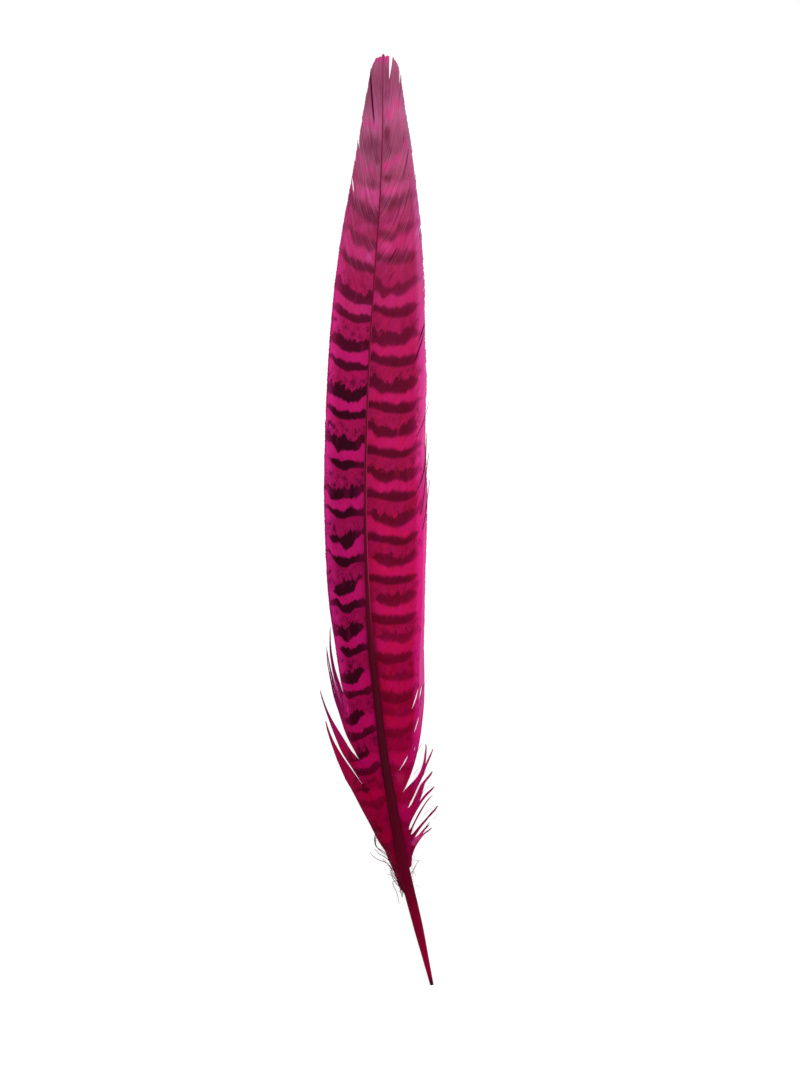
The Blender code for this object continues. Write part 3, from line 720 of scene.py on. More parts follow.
def barb_line(bed, root, shares, clump):
    """A barb's course in its bed, drawn towards its clump's middle and moved by slits."""
    middle, hold, most = clump
    line = bed.line(root, shares)
    pull = most * np.clip((shares - hold) / (1 - hold), 0, 1) ** CLUMP_SUDDENNESS
    line += (bed.line(middle, shares) - line) * pull
    way, moved = directions(line), make_way(bed.splits, root, shares)
    line[0] += moved * np.abs(way[1])
    line[1] -= moved * bed.side * way[0]
    line[1, 0] *= ROOT_INSIDE_SHAFT
    return line


rooted = left_closed.end - left_closed.start
print("the left closed vane takes about", round(rooted / BARB_SPACING), "barbs")

# %% Growing a bed's barbs
BARB_POINTS = 20
BARB_OVERLAP = 1.6  # each barb is this much wider than its share of the vane
BARB_WIDTHS = (0.26, 0.66)  # at least, at most
WIDTH_AT_ROOT = 0.62  # at least, so that no light shows between barbs beside the shaft
POINTS_AT_ROOT = 5
TIP_NARROWING, TIP_SUDDENNESS = 0.45, 16  # only the very tip of a barb is slimmer
HEIGHT_SPREAD = 0.01  # barbs lie about this much higher or lower than the vane
NEXT_BARB = 0.02  # how far along the shaft a barb's spacing is measured


def barb_widths(line, beside, shares):
    """A barb's widths, from how far away a line beside it runs."""
    way, gap = directions(line), beside - line
    spread = np.abs(way[0] * gap[1] - way[1] * gap[0]) / NEXT_BARB * BARB_SPACING
    widths = np.clip(spread * BARB_OVERLAP, *BARB_WIDTHS)
    widths[:POINTS_AT_ROOT] = np.maximum(widths[:POINTS_AT_ROOT], WIDTH_AT_ROOT)
    return widths * (1 - TIP_NARROWING * (shares / shares[-1]) ** TIP_SUDDENNESS)


def grow(beds, seed):
    lines = Lines()
    rng = random.Random(seed)
    for bed in beds:
        for low, high in clumps_in(bed, rng):
            clump = ((low + high) / 2, rng.uniform(*CLUMP_HOLDS), rng.uniform(0.0, CLUMP_PULL))
            clump_reach = rng.gauss(0, REACH_SPREAD)
            count = max(1, round((high - low) / BARB_SPACING))
            for k in range(count):
                root = low + (high - low) * (k + 0.5) / count
                shares = (bed.reach(root, rng) + clump_reach) * np.linspace(0, 1, BARB_POINTS)
                line = barb_line(bed, root, shares, clump)
                beside = barb_line(bed, root + NEXT_BARB, shares, clump)
                under, top = vane_levels(*line, bed.side)
                heights = (under + top) / 2 + rng.gauss(0, HEIGHT_SPREAD)
                widths = barb_widths(line, beside, shares)
                lines.add(bed.side, line, widths, heights, root, bed.shade(root, shares))
    return lines


print("short of its tip, a barb is", BARB_WIDTHS[0], "to", BARB_WIDTHS[1], "mm wide")

# %% [markdown]
# ## Tufts at the foot
# Below the closed vane the barbs stand in loose tufts, which real feathers have where the hooks
# are weak. They could be combed by hand in Blender's hair tools, but hair curves don't reach the
# finished mesh. A tuft is drawn by its two outermost barbs, and the others are worked out between
# them. Its row is (lowest root, highest root, how much shorter its inner barbs may be, its lower
# edge and its upper edge), and an edge is the places that its barb passes, as (height up the
# table, distance from the shaft).

# %% The left vane's tufts
LEFT_TUFTS = [
    (-74.6, -72.2, 0.12,  # inner slim lock
     [(-71.4, 3.5), (-67.7, 5.5), (-63.4, 7.4), (-58.3, 9), (-52.8, 10.5), (-49, 11.4), (-45, 11.9),
      (-40.6, 12.1), (-37.7, 12.1), (-34.8, 11.9), (-30.8, 11.6)],
     [(-69.6, 3.4), (-66.1, 5.2), (-62, 6.9), (-57.2, 8.3), (-53.6, 9.2), (-49.9, 9.9),
      (-46.7, 10.6), (-43.8, 11.2), (-40.9, 11.5), (-37.7, 11.7), (-34.8, 11.7), (-31.1, 11.5)]),
    (-78.4, -74.6, 0.3,  # outer slim lock
     [(-76, 2.6), (-73.7, 4.5), (-71.1, 6.4), (-69.3, 7.4), (-66.7, 8.4), (-63.8, 9.6),
      (-60.9, 10.5), (-58, 11.1), (-55.1, 11.7), (-52.2, 12.4), (-48.7, 12.8), (-45.3, 13),
      (-41.8, 13.2), (-39.2, 13.1), (-36.6, 12.9)],
     [(-71.4, 3.5), (-67.7, 5.5), (-63.4, 7.4), (-58.3, 9), (-52.8, 10.5), (-49.3, 11.5),
      (-45.8, 12.1), (-42.1, 12.6), (-39.2, 12.8), (-36.6, 12.9)]),
    (-84.4, -77.8, 0.3,  # upper long lock
     [(-83, 2.6), (-80.9, 4.3), (-78.6, 6.1), (-76, 7.8), (-74.1, 8.8), (-72.5, 9.5), (-69.7, 11),
      (-66.9, 12.3), (-64, 13.1), (-60.9, 13.9), (-58, 14.6), (-55.1, 15.3), (-52.2, 15.9),
      (-49.3, 16.4)],
     [(-75.6, 2.7), (-73.2, 4.7), (-71, 6.5), (-69.1, 7.7), (-66.7, 9.5), (-63.8, 10.9),
      (-60.9, 12.4), (-58, 13.8), (-55.1, 14.9), (-52.2, 15.7), (-49.3, 16.3)]),
    (-109.5, -84.4, 0.45,  # foot and lower long lock
     [(-107.3, 2.1), (-104.4, 2.5), (-101.5, 2.9), (-98.6, 3.7), (-95.7, 4.4), (-94.3, 5.2),
      (-92.8, 5.9), (-89.9, 6.8), (-87, 7.8), (-84.1, 8.9), (-81.2, 9.9), (-78.3, 10.9),
      (-75.4, 12.2), (-72.5, 13), (-69.6, 13.8), (-66.7, 14.4), (-63.8, 15), (-60.9, 15.5),
      (-58.3, 15.7)],
     [(-83, 2.6), (-80.9, 4.3), (-78.6, 6.1), (-76.3, 7.8), (-74.3, 9.0), (-72.5, 10.0),
      (-69.6, 11.7), (-66.7, 13.1), (-63.8, 14.3), (-60.9, 15.1), (-58.3, 15.6)]),
]
print("tufts on the left:", len(LEFT_TUFTS))

# %% The right vane's tufts
RIGHT_TUFTS = [
    (-84.4, -80.6, 0.15,  # first lock, upper fork
     [(-83.3, 2.5), (-81.6, 4), (-79.5, 5.7), (-77.3, 7.4), (-75.3, 9), (-73.5, 10.3), (-71.7, 11.1),
      (-69.9, 11.7), (-68.2, 12.1), (-66.3, 12.5), (-64.8, 12.7)],
     [(-80, 2), (-79.8, 2.7), (-78.1, 4.4), (-76.7, 5.9), (-75.7, 7.1), (-74.3, 8.6), (-72.7, 9.8),
      (-71.2, 10.6), (-69.6, 11.3), (-67.9, 11.8), (-66.3, 12.3), (-64.8, 12.5)]),
    (-87.0, -84.4, 0.15,  # first lock, lower fork
     [(-85.7, 2.3), (-84.1, 3.4), (-82.2, 4.8), (-80.2, 6.3), (-78.1, 7.6), (-75.9, 9),
      (-73.9, 10.3), (-72.3, 11.2), (-70.7, 12.1), (-68.9, 13.2), (-67.1, 14.1), (-66.1, 14.6)],
     [(-83.3, 2.5), (-81.6, 4), (-79.5, 5.7), (-77.3, 7.4), (-75.3, 9), (-73.5, 10.3), (-71.9, 11.1),
      (-70.3, 11.9), (-68.7, 12.9), (-67, 13.9), (-66, 14.5)]),
    (-89.8, -86.2, 0.1,  # second lock
     [(-88.9, 2.5), (-87.2, 3.7), (-85.3, 5), (-83.5, 6.4), (-81.9, 7.6), (-80.3, 8.6), (-78.8, 9.3),
      (-77.4, 9.9), (-76.3, 10.4), (-75.3, 11.3), (-74.1, 12.5), (-72.7, 13.5)],
     [(-85.6, 2.3), (-84, 3.6), (-82.4, 5.4), (-80.3, 6.8), (-78.1, 8.2), (-76.6, 9.2),
      (-75.7, 10.2), (-74.8, 11.2), (-73.6, 12.4), (-72.4, 13.4)]),
    (-93.3, -89.8, 0.1,  # third lock
     [(-92.1, 2.2), (-89.9, 3.1), (-87.6, 4.2), (-85.2, 5.8), (-83.1, 7.4), (-81.2, 9),
      (-79.9, 10.3), (-78.7, 11.7), (-77.4, 13.1)],
     [(-88.9, 2.5), (-87.2, 3.7), (-85.3, 5), (-83.5, 6.3), (-82.4, 7.2), (-81.2, 8.3), (-80.1, 9.4),
      (-79.2, 10.4), (-78.2, 11.7), (-77.1, 13.1)]),
    (-94.5, -92.4, 0.1,  # first thin lock
     [(-93.4, 2.3), (-91.8, 3.1), (-90.7, 3.9), (-89.1, 4.6), (-86.4, 6.4), (-84.4, 7.9),
      (-82.3, 9.5), (-80.9, 10.9), (-79.8, 12.2)],
     [(-91.6, 2.2), (-90.4, 3), (-89.7, 3.7), (-88.6, 4.6), (-86.1, 6.3), (-84.1, 7.8),
      (-82.1, 9.5), (-80.7, 10.9), (-79.7, 12.2)]),
    (-96.3, -93.4, 0.15,  # second thin lock
     [(-95.1, 2.3), (-93.8, 3.1), (-92.5, 4.2), (-90.5, 5.7), (-88.9, 7.1), (-87.5, 8.5),
      (-86.2, 9.8), (-85, 11.1), (-84, 12.2), (-82.4, 13.4)],
     [(-92.8, 2.3), (-91.4, 3.3), (-90.8, 4.3), (-89.5, 5.7), (-88.2, 7.1), (-87, 8.5),
      (-85.8, 9.8), (-84.6, 11), (-83.6, 12.2), (-82.2, 13.3)]),
    (-97.4, -95.2, 0.3,  # pale lock
     [(-96.3, 2.3), (-95, 3.1), (-93.4, 4.6), (-92.1, 6), (-90.9, 7.4), (-90.1, 8.4), (-89.5, 9.4)],
     [(-94.2, 2.3), (-93, 3.3), (-92, 4.6), (-91.1, 6), (-90, 7.2), (-88.9, 8.5),
      (-87.6, 9.7), (-86.1, 11.3), (-85.2, 12.3)]),
    (-100.9, -96.4, 0.12,  # lowest lock
     [(-99.8, 2.1), (-98.2, 2.5), (-96.7, 3.2), (-95.4, 3.9), (-94, 4.8), (-92.3, 6.3), (-91, 7.6),
      (-90.2, 8.9), (-89.1, 10.4)],
     [(-95.6, 2.3), (-94.6, 3.1), (-93.4, 4.1), (-92.6, 5.2), (-91.7, 6.4), (-90.8, 7.6), (-89.9, 9),
      (-89, 10.4)]),
]
print("tufts on the right:", len(RIGHT_TUFTS))

# %% Grow the lines of both vanes
left_lines = grow([*(Tuft(-1, row) for row in LEFT_TUFTS), left_closed], 11)
right_lines = grow([*(Tuft(1, row) for row in RIGHT_TUFTS), right_closed], 12)
print("barbs:", len(left_lines.sizes), "on the left,", len(right_lines.sizes), "on the right")

# %% [markdown]
# ## Whiskers and curls
# A few barbs have come loose on their own: straight whiskers beside the rim, and fine curls of
# down at the foot. Chance alone would put them anywhere, so the ones that show are drawn, each as
# (width, the places that it passes), and use the same lines as the barbs.

# %% The whiskers
RIGHT_WHISKERS = [
    (0.17, [(24, 14.5), (26.4, 15.7), (28.7, 16.5), (30.7, 17), (32.7, 17.5), (34.5, 17.7)]),
    (0.3, [(8.7, 15.1), (11.6, 16.2), (14.2, 16.9), (17.7, 17.3), (21.1, 17.4), (25.2, 17.5)]),
    (0.26, [(1.4, 15.9), (4.9, 16.7), (8.7, 17.1), (13, 17.5), (16.5, 17.9), (19.4, 18.2)]),
    (0.24, [(-2.9, 16.5), (0.6, 17.2), (4.3, 17.7), (7.5, 18.1), (9.8, 18.4), (11.6, 18.6)]),
    (0.13, [(-52.2, 12.6), (-49.9, 13), (-48.3, 13.8), (-47.2, 14.5), (-46.1, 15.2)]),
    (0.1, [(-68.8, 8.7), (-67.3, 9.6), (-66.1, 10.4), (-64.6, 11.5)]),
    (0.09, [(-75.9, 8.8), (-73.8, 10.5), (-72.3, 11.8), (-71.3, 12.9)]),
    (0.09, [(-80.4, 8.2), (-78.3, 10.0), (-76.5, 12.0)]),
    (0.08, [(-73.6, 7.7), (-72.6, 8.6), (-71.7, 9.3)]), (0.08, [(-66.3, 10.2), (-64.9, 11.2)]),
    (0.08, [(-85.3, 8.5), (-83.9, 10.6), (-82.8, 12.9)]),
    (0.08, [(-86.7, 11.0), (-85.6, 12.0), (-84.4, 13.0)]),
]
HAIR_POINTS = 14
HAIR_SHADE = 0.5
HAIR_NARROWING = 0.5  # at its end
ABOVE_VANE = (0.1, 0.5)  # how high over the vane's top loose hairs lie


def grow_hair(lines, side, width, places, rng, root):
    way = np.linspace(0, 1, HAIR_POINTS)
    line = path_through(side, places)(way)
    low, high = ABOVE_VANE
    heights = vane_levels(*line, side)[1] + low + rng.uniform(0, high - low)
    lines.add(side, line, width * (1 - HAIR_NARROWING * way**3), heights, root, HAIR_SHADE)


hair_rng = random.Random(21)
whiskers = Lines()
for width, places in RIGHT_WHISKERS:
    grow_hair(whiskers, 1, width, places, hair_rng, places[0][0])
print("whiskers:", len(whiskers.sizes))

# %% The curls
LEFT_CURLS = [
    (0.26, [(-89.3, 5.5), (-90.8, 6.4), (-92.8, 7.0), (-94.6, 6.8), (-95.7, 5.2), (-96.9, 3.8)]),
    (0.22, [(-90.8, 5.8), (-92.5, 6.7), (-94.3, 6.8), (-95.7, 5.9), (-97.0, 4.3), (-98.6, 3.2)]),
    (0.22, [(-101.8, 2.9), (-100.4, 3.8), (-99.1, 4.9), (-98.5, 6.5), (-97.5, 8.1), (-96.2, 9.0)]),
    (0.20, [(-98.9, 3.5), (-97.5, 4.9), (-96.6, 6.4), (-95.1, 7.5)]),
    (0.20, [(-104.4, 2.3), (-103.3, 2.9), (-101.8, 3.5), (-99.8, 4.3), (-98.0, 5.8)]),
    (0.16, [(-104.1, 2.0), (-103.8, 2.9), (-102.8, 4.1), (-102.4, 5.5)]),
    (0.20, [(-105.6, 2.0), (-104.7, 2.6), (-103.3, 3.5), (-101.2, 4.2)]),
    (0.18, [(-105.6, 1.7), (-104.4, 2.9), (-104.7, 4.2), (-106.7, 4.0), (-108.5, 3.7), (-111.1, 3.9)]),
    (0.20, [(-106.5, 2.0), (-105.6, 2.9), (-104.4, 3.6), (-102.1, 4.1), (-100.4, 3.5)]),
    (0.20, [(-107.3, 1.9), (-109.1, 2.5), (-106.7, 2.5), (-104.4, 2.8), (-101.8, 2.6)]),
]
RIGHT_CURLS = [
    (0.1, [(-104.4, 0.9), (-102.7, 2.0), (-100.7, 2.6), (-98.6, 2.3)]),
    (0.2, [(-103.4, 0.6), (-102.7, 1.2), (-101.8, 2.0), (-100.6, 3.0), (-99.4, 3.8), (-98.3, 4.8)]),
]
curls = Lines()
for side, rows in ((-1, LEFT_CURLS), (1, RIGHT_CURLS)):
    for width, places in rows:
        grow_hair(curls, side, width, places, hair_rng, places[0][0])
print("curls:", len(curls.sizes))

# %% Down at the foot
# Short fine hairs where the vane runs out: (along, how far out they stand, how many)
DOWN = [(-90.0, 6.5, 8), (-94.0, 5.0, 14), (-98.0, 3.6, 22), (-102.0, 2.8, 26), (-106.0, 2.2, 18)]
DOWN_WIDTHS, DOWN_LENGTHS, DOWN_STEPS = (0.045, 0.08), (0.8, 2.6), 4
DOWN_SPREAD, DOWN_OUT = 2.2, (0.75, 1.05)  # how far along from its row, and share of its distance
FIRST_TURN, LATER_TURN = (-0.9, 1.5), (-0.7, 0.7)  # radians
KINKS = (1, 1, -0.4)  # one step in three turns back
LEAST_OUT = 0.4
RIGHT_SHARE = 0.25  # the right side has this share of the left side's down


def grow_down(lines, side, rng, share):
    for along, out, count in DOWN:
        for _ in range(round(count * share)):
            a = along + rng.uniform(-DOWN_SPREAD, DOWN_SPREAD)
            c = out * rng.uniform(*DOWN_OUT)
            turn = rng.uniform(*FIRST_TURN)
            step = rng.uniform(*DOWN_LENGTHS) / DOWN_STEPS
            places = [(a, c)]
            for _ in range(DOWN_STEPS):
                turn += rng.uniform(*LATER_TURN)
                a += math.cos(turn) * step * rng.choice(KINKS)
                c += math.sin(turn) * step
                places.append((a, max(c, LEAST_OUT)))
            grow_hair(lines, side, rng.uniform(*DOWN_WIDTHS), places, rng, a)


grow_down(curls, -1, hair_rng, 1.0)
grow_down(curls, 1, hair_rng, RIGHT_SHARE)
print("curls with the down:", len(curls.sizes))

# %% [markdown]
# ## Ribbons with Geometry Nodes
# A real barb is a slim blade with a ridge. Its lines could be given a curve's bevel, but a bevel
# has one width and one tilt unless every point is set by hand. One tree of Geometry Nodes sweeps
# all the lines of a vane at once: it draws a four-sided profile, scales it by each point's own
# width, leans it over by the vane's slope there, so that the row of barbs is closed from every
# side, and sets the material.

# %% Sockets and profile
PROFILE = {"Ridge height": 0.4, "Ridge place": 0.0, "Keel depth": 0.3}  # in a barb's half-widths


def add_sockets(tree, way, kind, names):
    """Adds sockets of one kind. Where names is a dictionary, it has their values."""
    for name in names:
        socket = tree.interface.new_socket(name, in_out=way, socket_type="NodeSocket" + kind)
        if isinstance(names, dict):
            socket.default_value = names[name]


def closed_profile(node, link, sizes):
    """A flat diamond: two edges, a ridge on top and a keel below."""
    keel = node("ShaderNodeMath")
    keel.operation = "MULTIPLY"
    keel.inputs[1].default_value = -1
    link(sizes["Keel depth"], keel.inputs[0])
    profile = node("GeometryNodeCurvePrimitiveQuadrilateral")
    profile.mode = "POINTS"
    ridge, heights = sizes["Ridge place"], (sizes["Ridge height"], keel.outputs[0])
    for number, (x, y) in enumerate(
        ((-1.0, 0.0), (ridge, heights[0]), (1.0, 0.0), (ridge, heights[1])), 1
    ):
        corner = node("ShaderNodeCombineXYZ")
        for socket, value in zip(corner.inputs, (x, y)):
            if isinstance(value, float):
                socket.default_value = value
            else:
                link(value, socket)
        link(corner.outputs[0], profile.inputs[f"Point {number}"])
    return profile.outputs["Curve"]


print("the barb's profile:", PROFILE)

# %% The ribbon tree
def named_value(node, name):
    read = node("GeometryNodeInputNamedAttribute")
    read.data_type = "FLOAT"
    read.inputs["Name"].default_value = name
    return read.outputs["Attribute"]


def ribbon_tree(name):
    tree = bpy.data.node_groups.new(name, "GeometryNodeTree")
    add_sockets(tree, "INPUT", "Geometry", ["Geometry"])
    add_sockets(tree, "INPUT", "Float", PROFILE)
    add_sockets(tree, "INPUT", "Material", ["Material"])
    add_sockets(tree, "OUTPUT", "Geometry", ["Geometry"])
    node, link = tree.nodes.new, tree.links.new
    start, end = node("NodeGroupInput"), node("NodeGroupOutput")

    turn = node("GeometryNodeStoreNamedAttribute")  # numbers the profile's corners, for the map
    turn.data_type, turn.domain = "FLOAT", "POINT"
    turn.inputs["Name"].default_value = "turn"
    link(closed_profile(node, link, start.outputs), turn.inputs["Geometry"])
    link(node("GeometryNodeInputIndex").outputs[0], turn.inputs["Value"])

    curves = node("GeometryNodeMeshToCurve")
    link(start.outputs["Geometry"], curves.inputs["Mesh"])
    upright = node("GeometryNodeSetCurveNormal")
    upright.mode = "Z_UP"
    link(curves.outputs["Curve"], upright.inputs["Curve"])
    leaned = node("GeometryNodeSetCurveTilt")
    link(upright.outputs["Curve"], leaned.inputs["Curve"])
    link(named_value(node, "lean"), leaned.inputs["Tilt"])
    sweep = node("GeometryNodeCurveToMesh")
    sweep.inputs["Fill Caps"].default_value = True
    link(leaned.outputs["Curve"], sweep.inputs["Curve"])
    link(turn.outputs["Geometry"], sweep.inputs["Profile Curve"])
    link(named_value(node, "half_width"), sweep.inputs["Scale"])
    real = node("GeometryNodeRealizeInstances")
    paint = node("GeometryNodeSetMaterial")
    link(sweep.outputs["Mesh"], real.inputs["Geometry"])
    link(real.outputs["Geometry"], paint.inputs["Geometry"])
    link(start.outputs["Material"], paint.inputs["Material"])
    link(paint.outputs["Geometry"], end.inputs["Geometry"])
    return tree


RIBBONS = ribbon_tree("barb_ribbons")
print("the ribbon tree has", len(RIBBONS.nodes), "nodes")

# %% [markdown]
# ## From lines to a mesh
# The lines go into the tree as a mesh of bare edges, because a mesh carries named values at its
# points and keeps them through the sweep. A material that reads a map needs one where no two
# faces lie on each other. Blender's unwrapping of a thousand ribbons would be slow and untidy, so
# each barb gets a strip of its own, with its length across the map.

# %% Lines as bare edges
def mesh_of_lines(name, lines):
    sizes = np.array(lines.sizes)
    starts = np.concatenate([[0], np.cumsum(sizes)[:-1]])
    edges = [(a + k, a + k + 1) for a, size in zip(starts, sizes) for k in range(size - 1)]
    mesh = bpy.data.meshes.new(name)
    mesh.from_pydata(np.concatenate(lines.points).tolist(), edges, [])
    carried = {label: np.concatenate(values) for label, values in lines.carried.items()}
    carried["strip"] = np.repeat(np.arange(len(sizes)), sizes)
    for label, values in carried.items():
        kind, field = ("FLOAT_VECTOR", "vector") if values.ndim == 2 else ("FLOAT", "value")
        layer = mesh.attributes.new(label, kind, "POINT")
        layer.data.foreach_set(field, values.astype(np.float32).ravel())
    return mesh


print("the left vane's lines have", sum(left_lines.sizes), "points")

# %% A strip of the map for each barb
SIDES = 4  # of the profile
STRIP_LENGTH, STRIP_BREADTH = 0.96, 0.92  # the shares of its place that a strip fills


def lay_out_map(mesh, strips, columns):
    """Gives each barb its own strip of the UV map, so that nothing in the map overlaps."""
    def values(label):
        found = np.empty(len(mesh.vertices), np.float32)
        mesh.attributes[label].data.foreach_get("value", found)
        return found

    def of_faces(label, kind):
        found = np.empty(len(mesh.polygons), kind)
        mesh.polygons.foreach_get(label, found)
        return found

    vertex = np.empty(len(mesh.loops), np.int32)
    mesh.loops.foreach_get("vertex_index", vertex)
    face = np.repeat(np.arange(len(mesh.polygons)), of_faces("loop_total", np.int32))
    turn = values("turn")[vertex]
    last_side = np.zeros(len(mesh.polygons), np.float32)
    np.maximum.at(last_side, face, turn)
    turn = np.where((last_side[face] == SIDES - 1) & (turn == 0), float(SIDES), turn)
    rows = math.ceil(strips / columns)
    place, row = np.divmod(values("strip")[vertex], rows)
    u = (place + (1 - STRIP_LENGTH) / 2 + STRIP_LENGTH * values("out")[vertex]) / columns
    v = (row + (1 - STRIP_BREADTH) / 2 + STRIP_BREADTH * turn / SIDES) / rows
    layer = mesh.uv_layers.new(name="OFBake")
    layer.uv.foreach_set("vector", np.column_stack([u, v]).astype(np.float32).ravel())


print("a barb's strip fills", round(STRIP_LENGTH * STRIP_BREADTH, 2), "of its place in the map")

# %% Sweeping a piece
# a modifier's inputs go by their sockets' identifiers
SOCKETS = {s.name: s.identifier for s in RIBBONS.interface.items_tree if s.in_out == "INPUT"}


def add_object(name, data):
    added = bpy.data.objects.new(name, data)
    bpy.context.scene.collection.objects.link(added)
    return added


def ribbons(name, lines, material, columns):
    """Sweeps a piece's lines into closed ribbons and returns it as a plain mesh object."""
    guide = add_object(name + "_guide", mesh_of_lines(name + "_guide", lines))
    sweep = guide.modifiers.new("ribbons", "NODES")
    sweep.node_group = RIBBONS
    for label, value in (*PROFILE.items(), ("Material", material)):
        sweep[SOCKETS[label]] = value
    bpy.context.view_layer.update()
    swept = guide.evaluated_get(bpy.context.evaluated_depsgraph_get())
    mesh = bpy.data.meshes.new_from_object(swept)
    mesh.name = name
    lay_out_map(mesh, len(lines.sizes), columns)
    for label in ("half_width", "lean", "strip", "out", "turn"):
        mesh.attributes.remove(mesh.attributes[label])
    mesh.shade_smooth()
    bpy.data.objects.remove(guide, do_unlink=True)
    print(name, "has", len(mesh.polygons), "faces")
    return add_object(name, mesh)


print("the tree's inputs:", SOCKETS)

# %% [markdown]
# ## Colours
# The feather is a brown and black one dyed magenta: the dye shows bright on the pale ground and
# turns the black markings a near-black purple. A picture could carry the colours, but it would
# blur close up, and no number in it could be changed. Here they are named as they look in even
# light, and mixed by a material's nodes. Short calls for those nodes keep the recipes readable.

# %% Screen colours
def dye(red, green, blue):
    """A screen colour, 0 to 255, as the linear colour that a shader takes."""
    def linear(c):
        c /= 255
        return c / 12.92 if c <= 0.04045 else ((c + 0.055) / 1.055) ** 2.4

    return (linear(red), linear(green), linear(blue), 1.0)


print("a hot pink in linear light:", [round(c, 3) for c in dye(206, 64, 134)])

# %% Short calls for sums
class Sums:
    """Short calls for the sums in a shader tree."""

    def __init__(self, tree):
        self.make, self.link = tree.nodes.new, tree.links.new

    def feed(self, socket, value):
        if hasattr(value, "is_output"):
            self.link(value, socket)
        elif value is not None:
            socket.default_value = value

    def math(self, operation, a, b=None):
        node = self.make("ShaderNodeMath")
        node.operation = operation
        for socket, value in zip(node.inputs, (a, b)):
            self.feed(socket, value)
        return node.outputs[0]

    def add(self, a, b):
        return self.math("ADD", a, b)

    def less(self, a, b):
        return self.math("SUBTRACT", a, b)

    def times(self, a, b):
        return self.math("MULTIPLY", a, b)

    def larger(self, a, b):
        return self.math("MAXIMUM", a, b)

    def size(self, a):
        return self.math("ABSOLUTE", a)


print("sums:", ", ".join(name for name in vars(Sums) if not name.startswith("_")))

# %% Short calls for patterns and colours
class Nodes(Sums):
    """Short calls for reading values, for patterns and for colours, and the sums."""

    def split(self, vector):
        node = self.make("ShaderNodeSeparateXYZ")
        self.feed(node.inputs[0], vector)
        return node.outputs

    def attribute(self, name):
        node = self.make("ShaderNodeAttribute")
        node.attribute_name = name
        return node.outputs["Vector"]

    def noise(self, x, y, z, detail=2.0, roughness=0.5):
        """Smooth noise from 0 to 1, about 0.5, with features about one unit across."""
        place = self.make("ShaderNodeCombineXYZ")
        for socket, value in zip(place.inputs, (x, y, z)):
            self.feed(socket, value)
        node = self.make("ShaderNodeTexNoise")
        self.link(place.outputs[0], node.inputs["Vector"])
        node.inputs["Scale"].default_value = 1.0
        node.inputs["Detail"].default_value = detail
        node.inputs["Roughness"].default_value = roughness
        return node.outputs["Fac"]

    def ramp(self, value, low, high):
        """0 at low, 1 at high, and smooth between. With low over high it falls."""
        node = self.make("ShaderNodeMapRange")
        node.interpolation_type = "SMOOTHSTEP"
        self.feed(node.inputs["Value"], value)
        self.feed(node.inputs["From Min"], low)
        self.feed(node.inputs["From Max"], high)
        return node.outputs["Result"]

    def mix(self, factor, a, b):
        node = self.make("ShaderNodeMix")
        node.data_type = "RGBA"
        colour_sockets = node.inputs[6:8]  # A and B, which share their names with other kinds
        for socket, value in zip((node.inputs["Factor"], *colour_sockets), (factor, a, b)):
            self.feed(socket, value)
        return node.outputs[2]  # the colour

    def toned(self, colour, value, hue=0.5):
        node = self.make("ShaderNodeHueSaturation")
        for name, given in (("Color", colour), ("Value", value), ("Hue", hue)):
            self.feed(node.inputs[name], given)
        return node.outputs["Color"]

    def by_along(self, along, stops):
        """A colour that changes along the feather, by (along, red, green, blue) from the foot."""
        colour = dye(*stops[0][1:])
        for before, after in zip(stops, stops[1:]):
            colour = self.mix(self.ramp(along, before[0], after[0]), colour, dye(*after[1:]))
        return colour


print("patterns and colours:", ", ".join(name for name in vars(Nodes) if not name.startswith("_")))

# %% [markdown]
# ## The markings as a shader group
# Both vanes carry the same kind of markings, so they are one node group with named inputs, placed
# in each vane's material with its own values. Where the dark part of a barb ends differs from
# barb to barb, which gives bars and blotches their teeth. Jagged outlines could be drawn, but
# noise that stands in columns along the feather combs the edges by itself: most of all on the
# tip's side of a blotch, where a real one looks brushed.

# %% The group's parts
GROUP_SIZES = {"Softness": 0.03, "Teeth": 0.16, "Slits": 0.6, "Seed": 0.0}
COMB_COLUMNS = 10.0  # across the width of a vane
TORN_ALONG = (70.0, 35.0)  # between these, towards the foot, blotches grow fully torn
BAR_TEETH, BLOTCH_TEETH = 0.08, 0.18  # of a pair's spacing


def masked(n, away, reach, soft):
    """1 nearer than a marking's reach, 0 beyond it, and soft between."""
    return n.ramp(away, n.add(reach, soft), n.less(reach, soft))


def from_nearest(n, value):
    """How far a phase is from the nearest whole number, less than 0 on the tip's side."""
    return n.less(value, n.math("ROUND", value))


def torn_reach(n, given, blotch, comb, stand, phase, off, along):
    """How far a blotch reaches, with long teeth towards the tip."""
    spikes = n.noise(n.times(stand, 1.3), n.times(phase, 0.7), n.add(given["Seed"], 5.0), 1.0)
    tipward = n.ramp(off, 0.02, -0.02)
    torn = n.times(n.ramp(spikes, 0.45, 0.72), n.times(tipward, given["Teeth"]))
    torn = n.add(n.times(torn, n.ramp(blotch, -0.02, 0.05)), n.times(comb, BLOTCH_TEETH))
    torn_here = n.add(0.35, n.times(n.ramp(along, *TORN_ALONG), 0.65))
    return n.add(blotch, n.times(torn, torn_here))


print("the group's own sizes:", GROUP_SIZES)

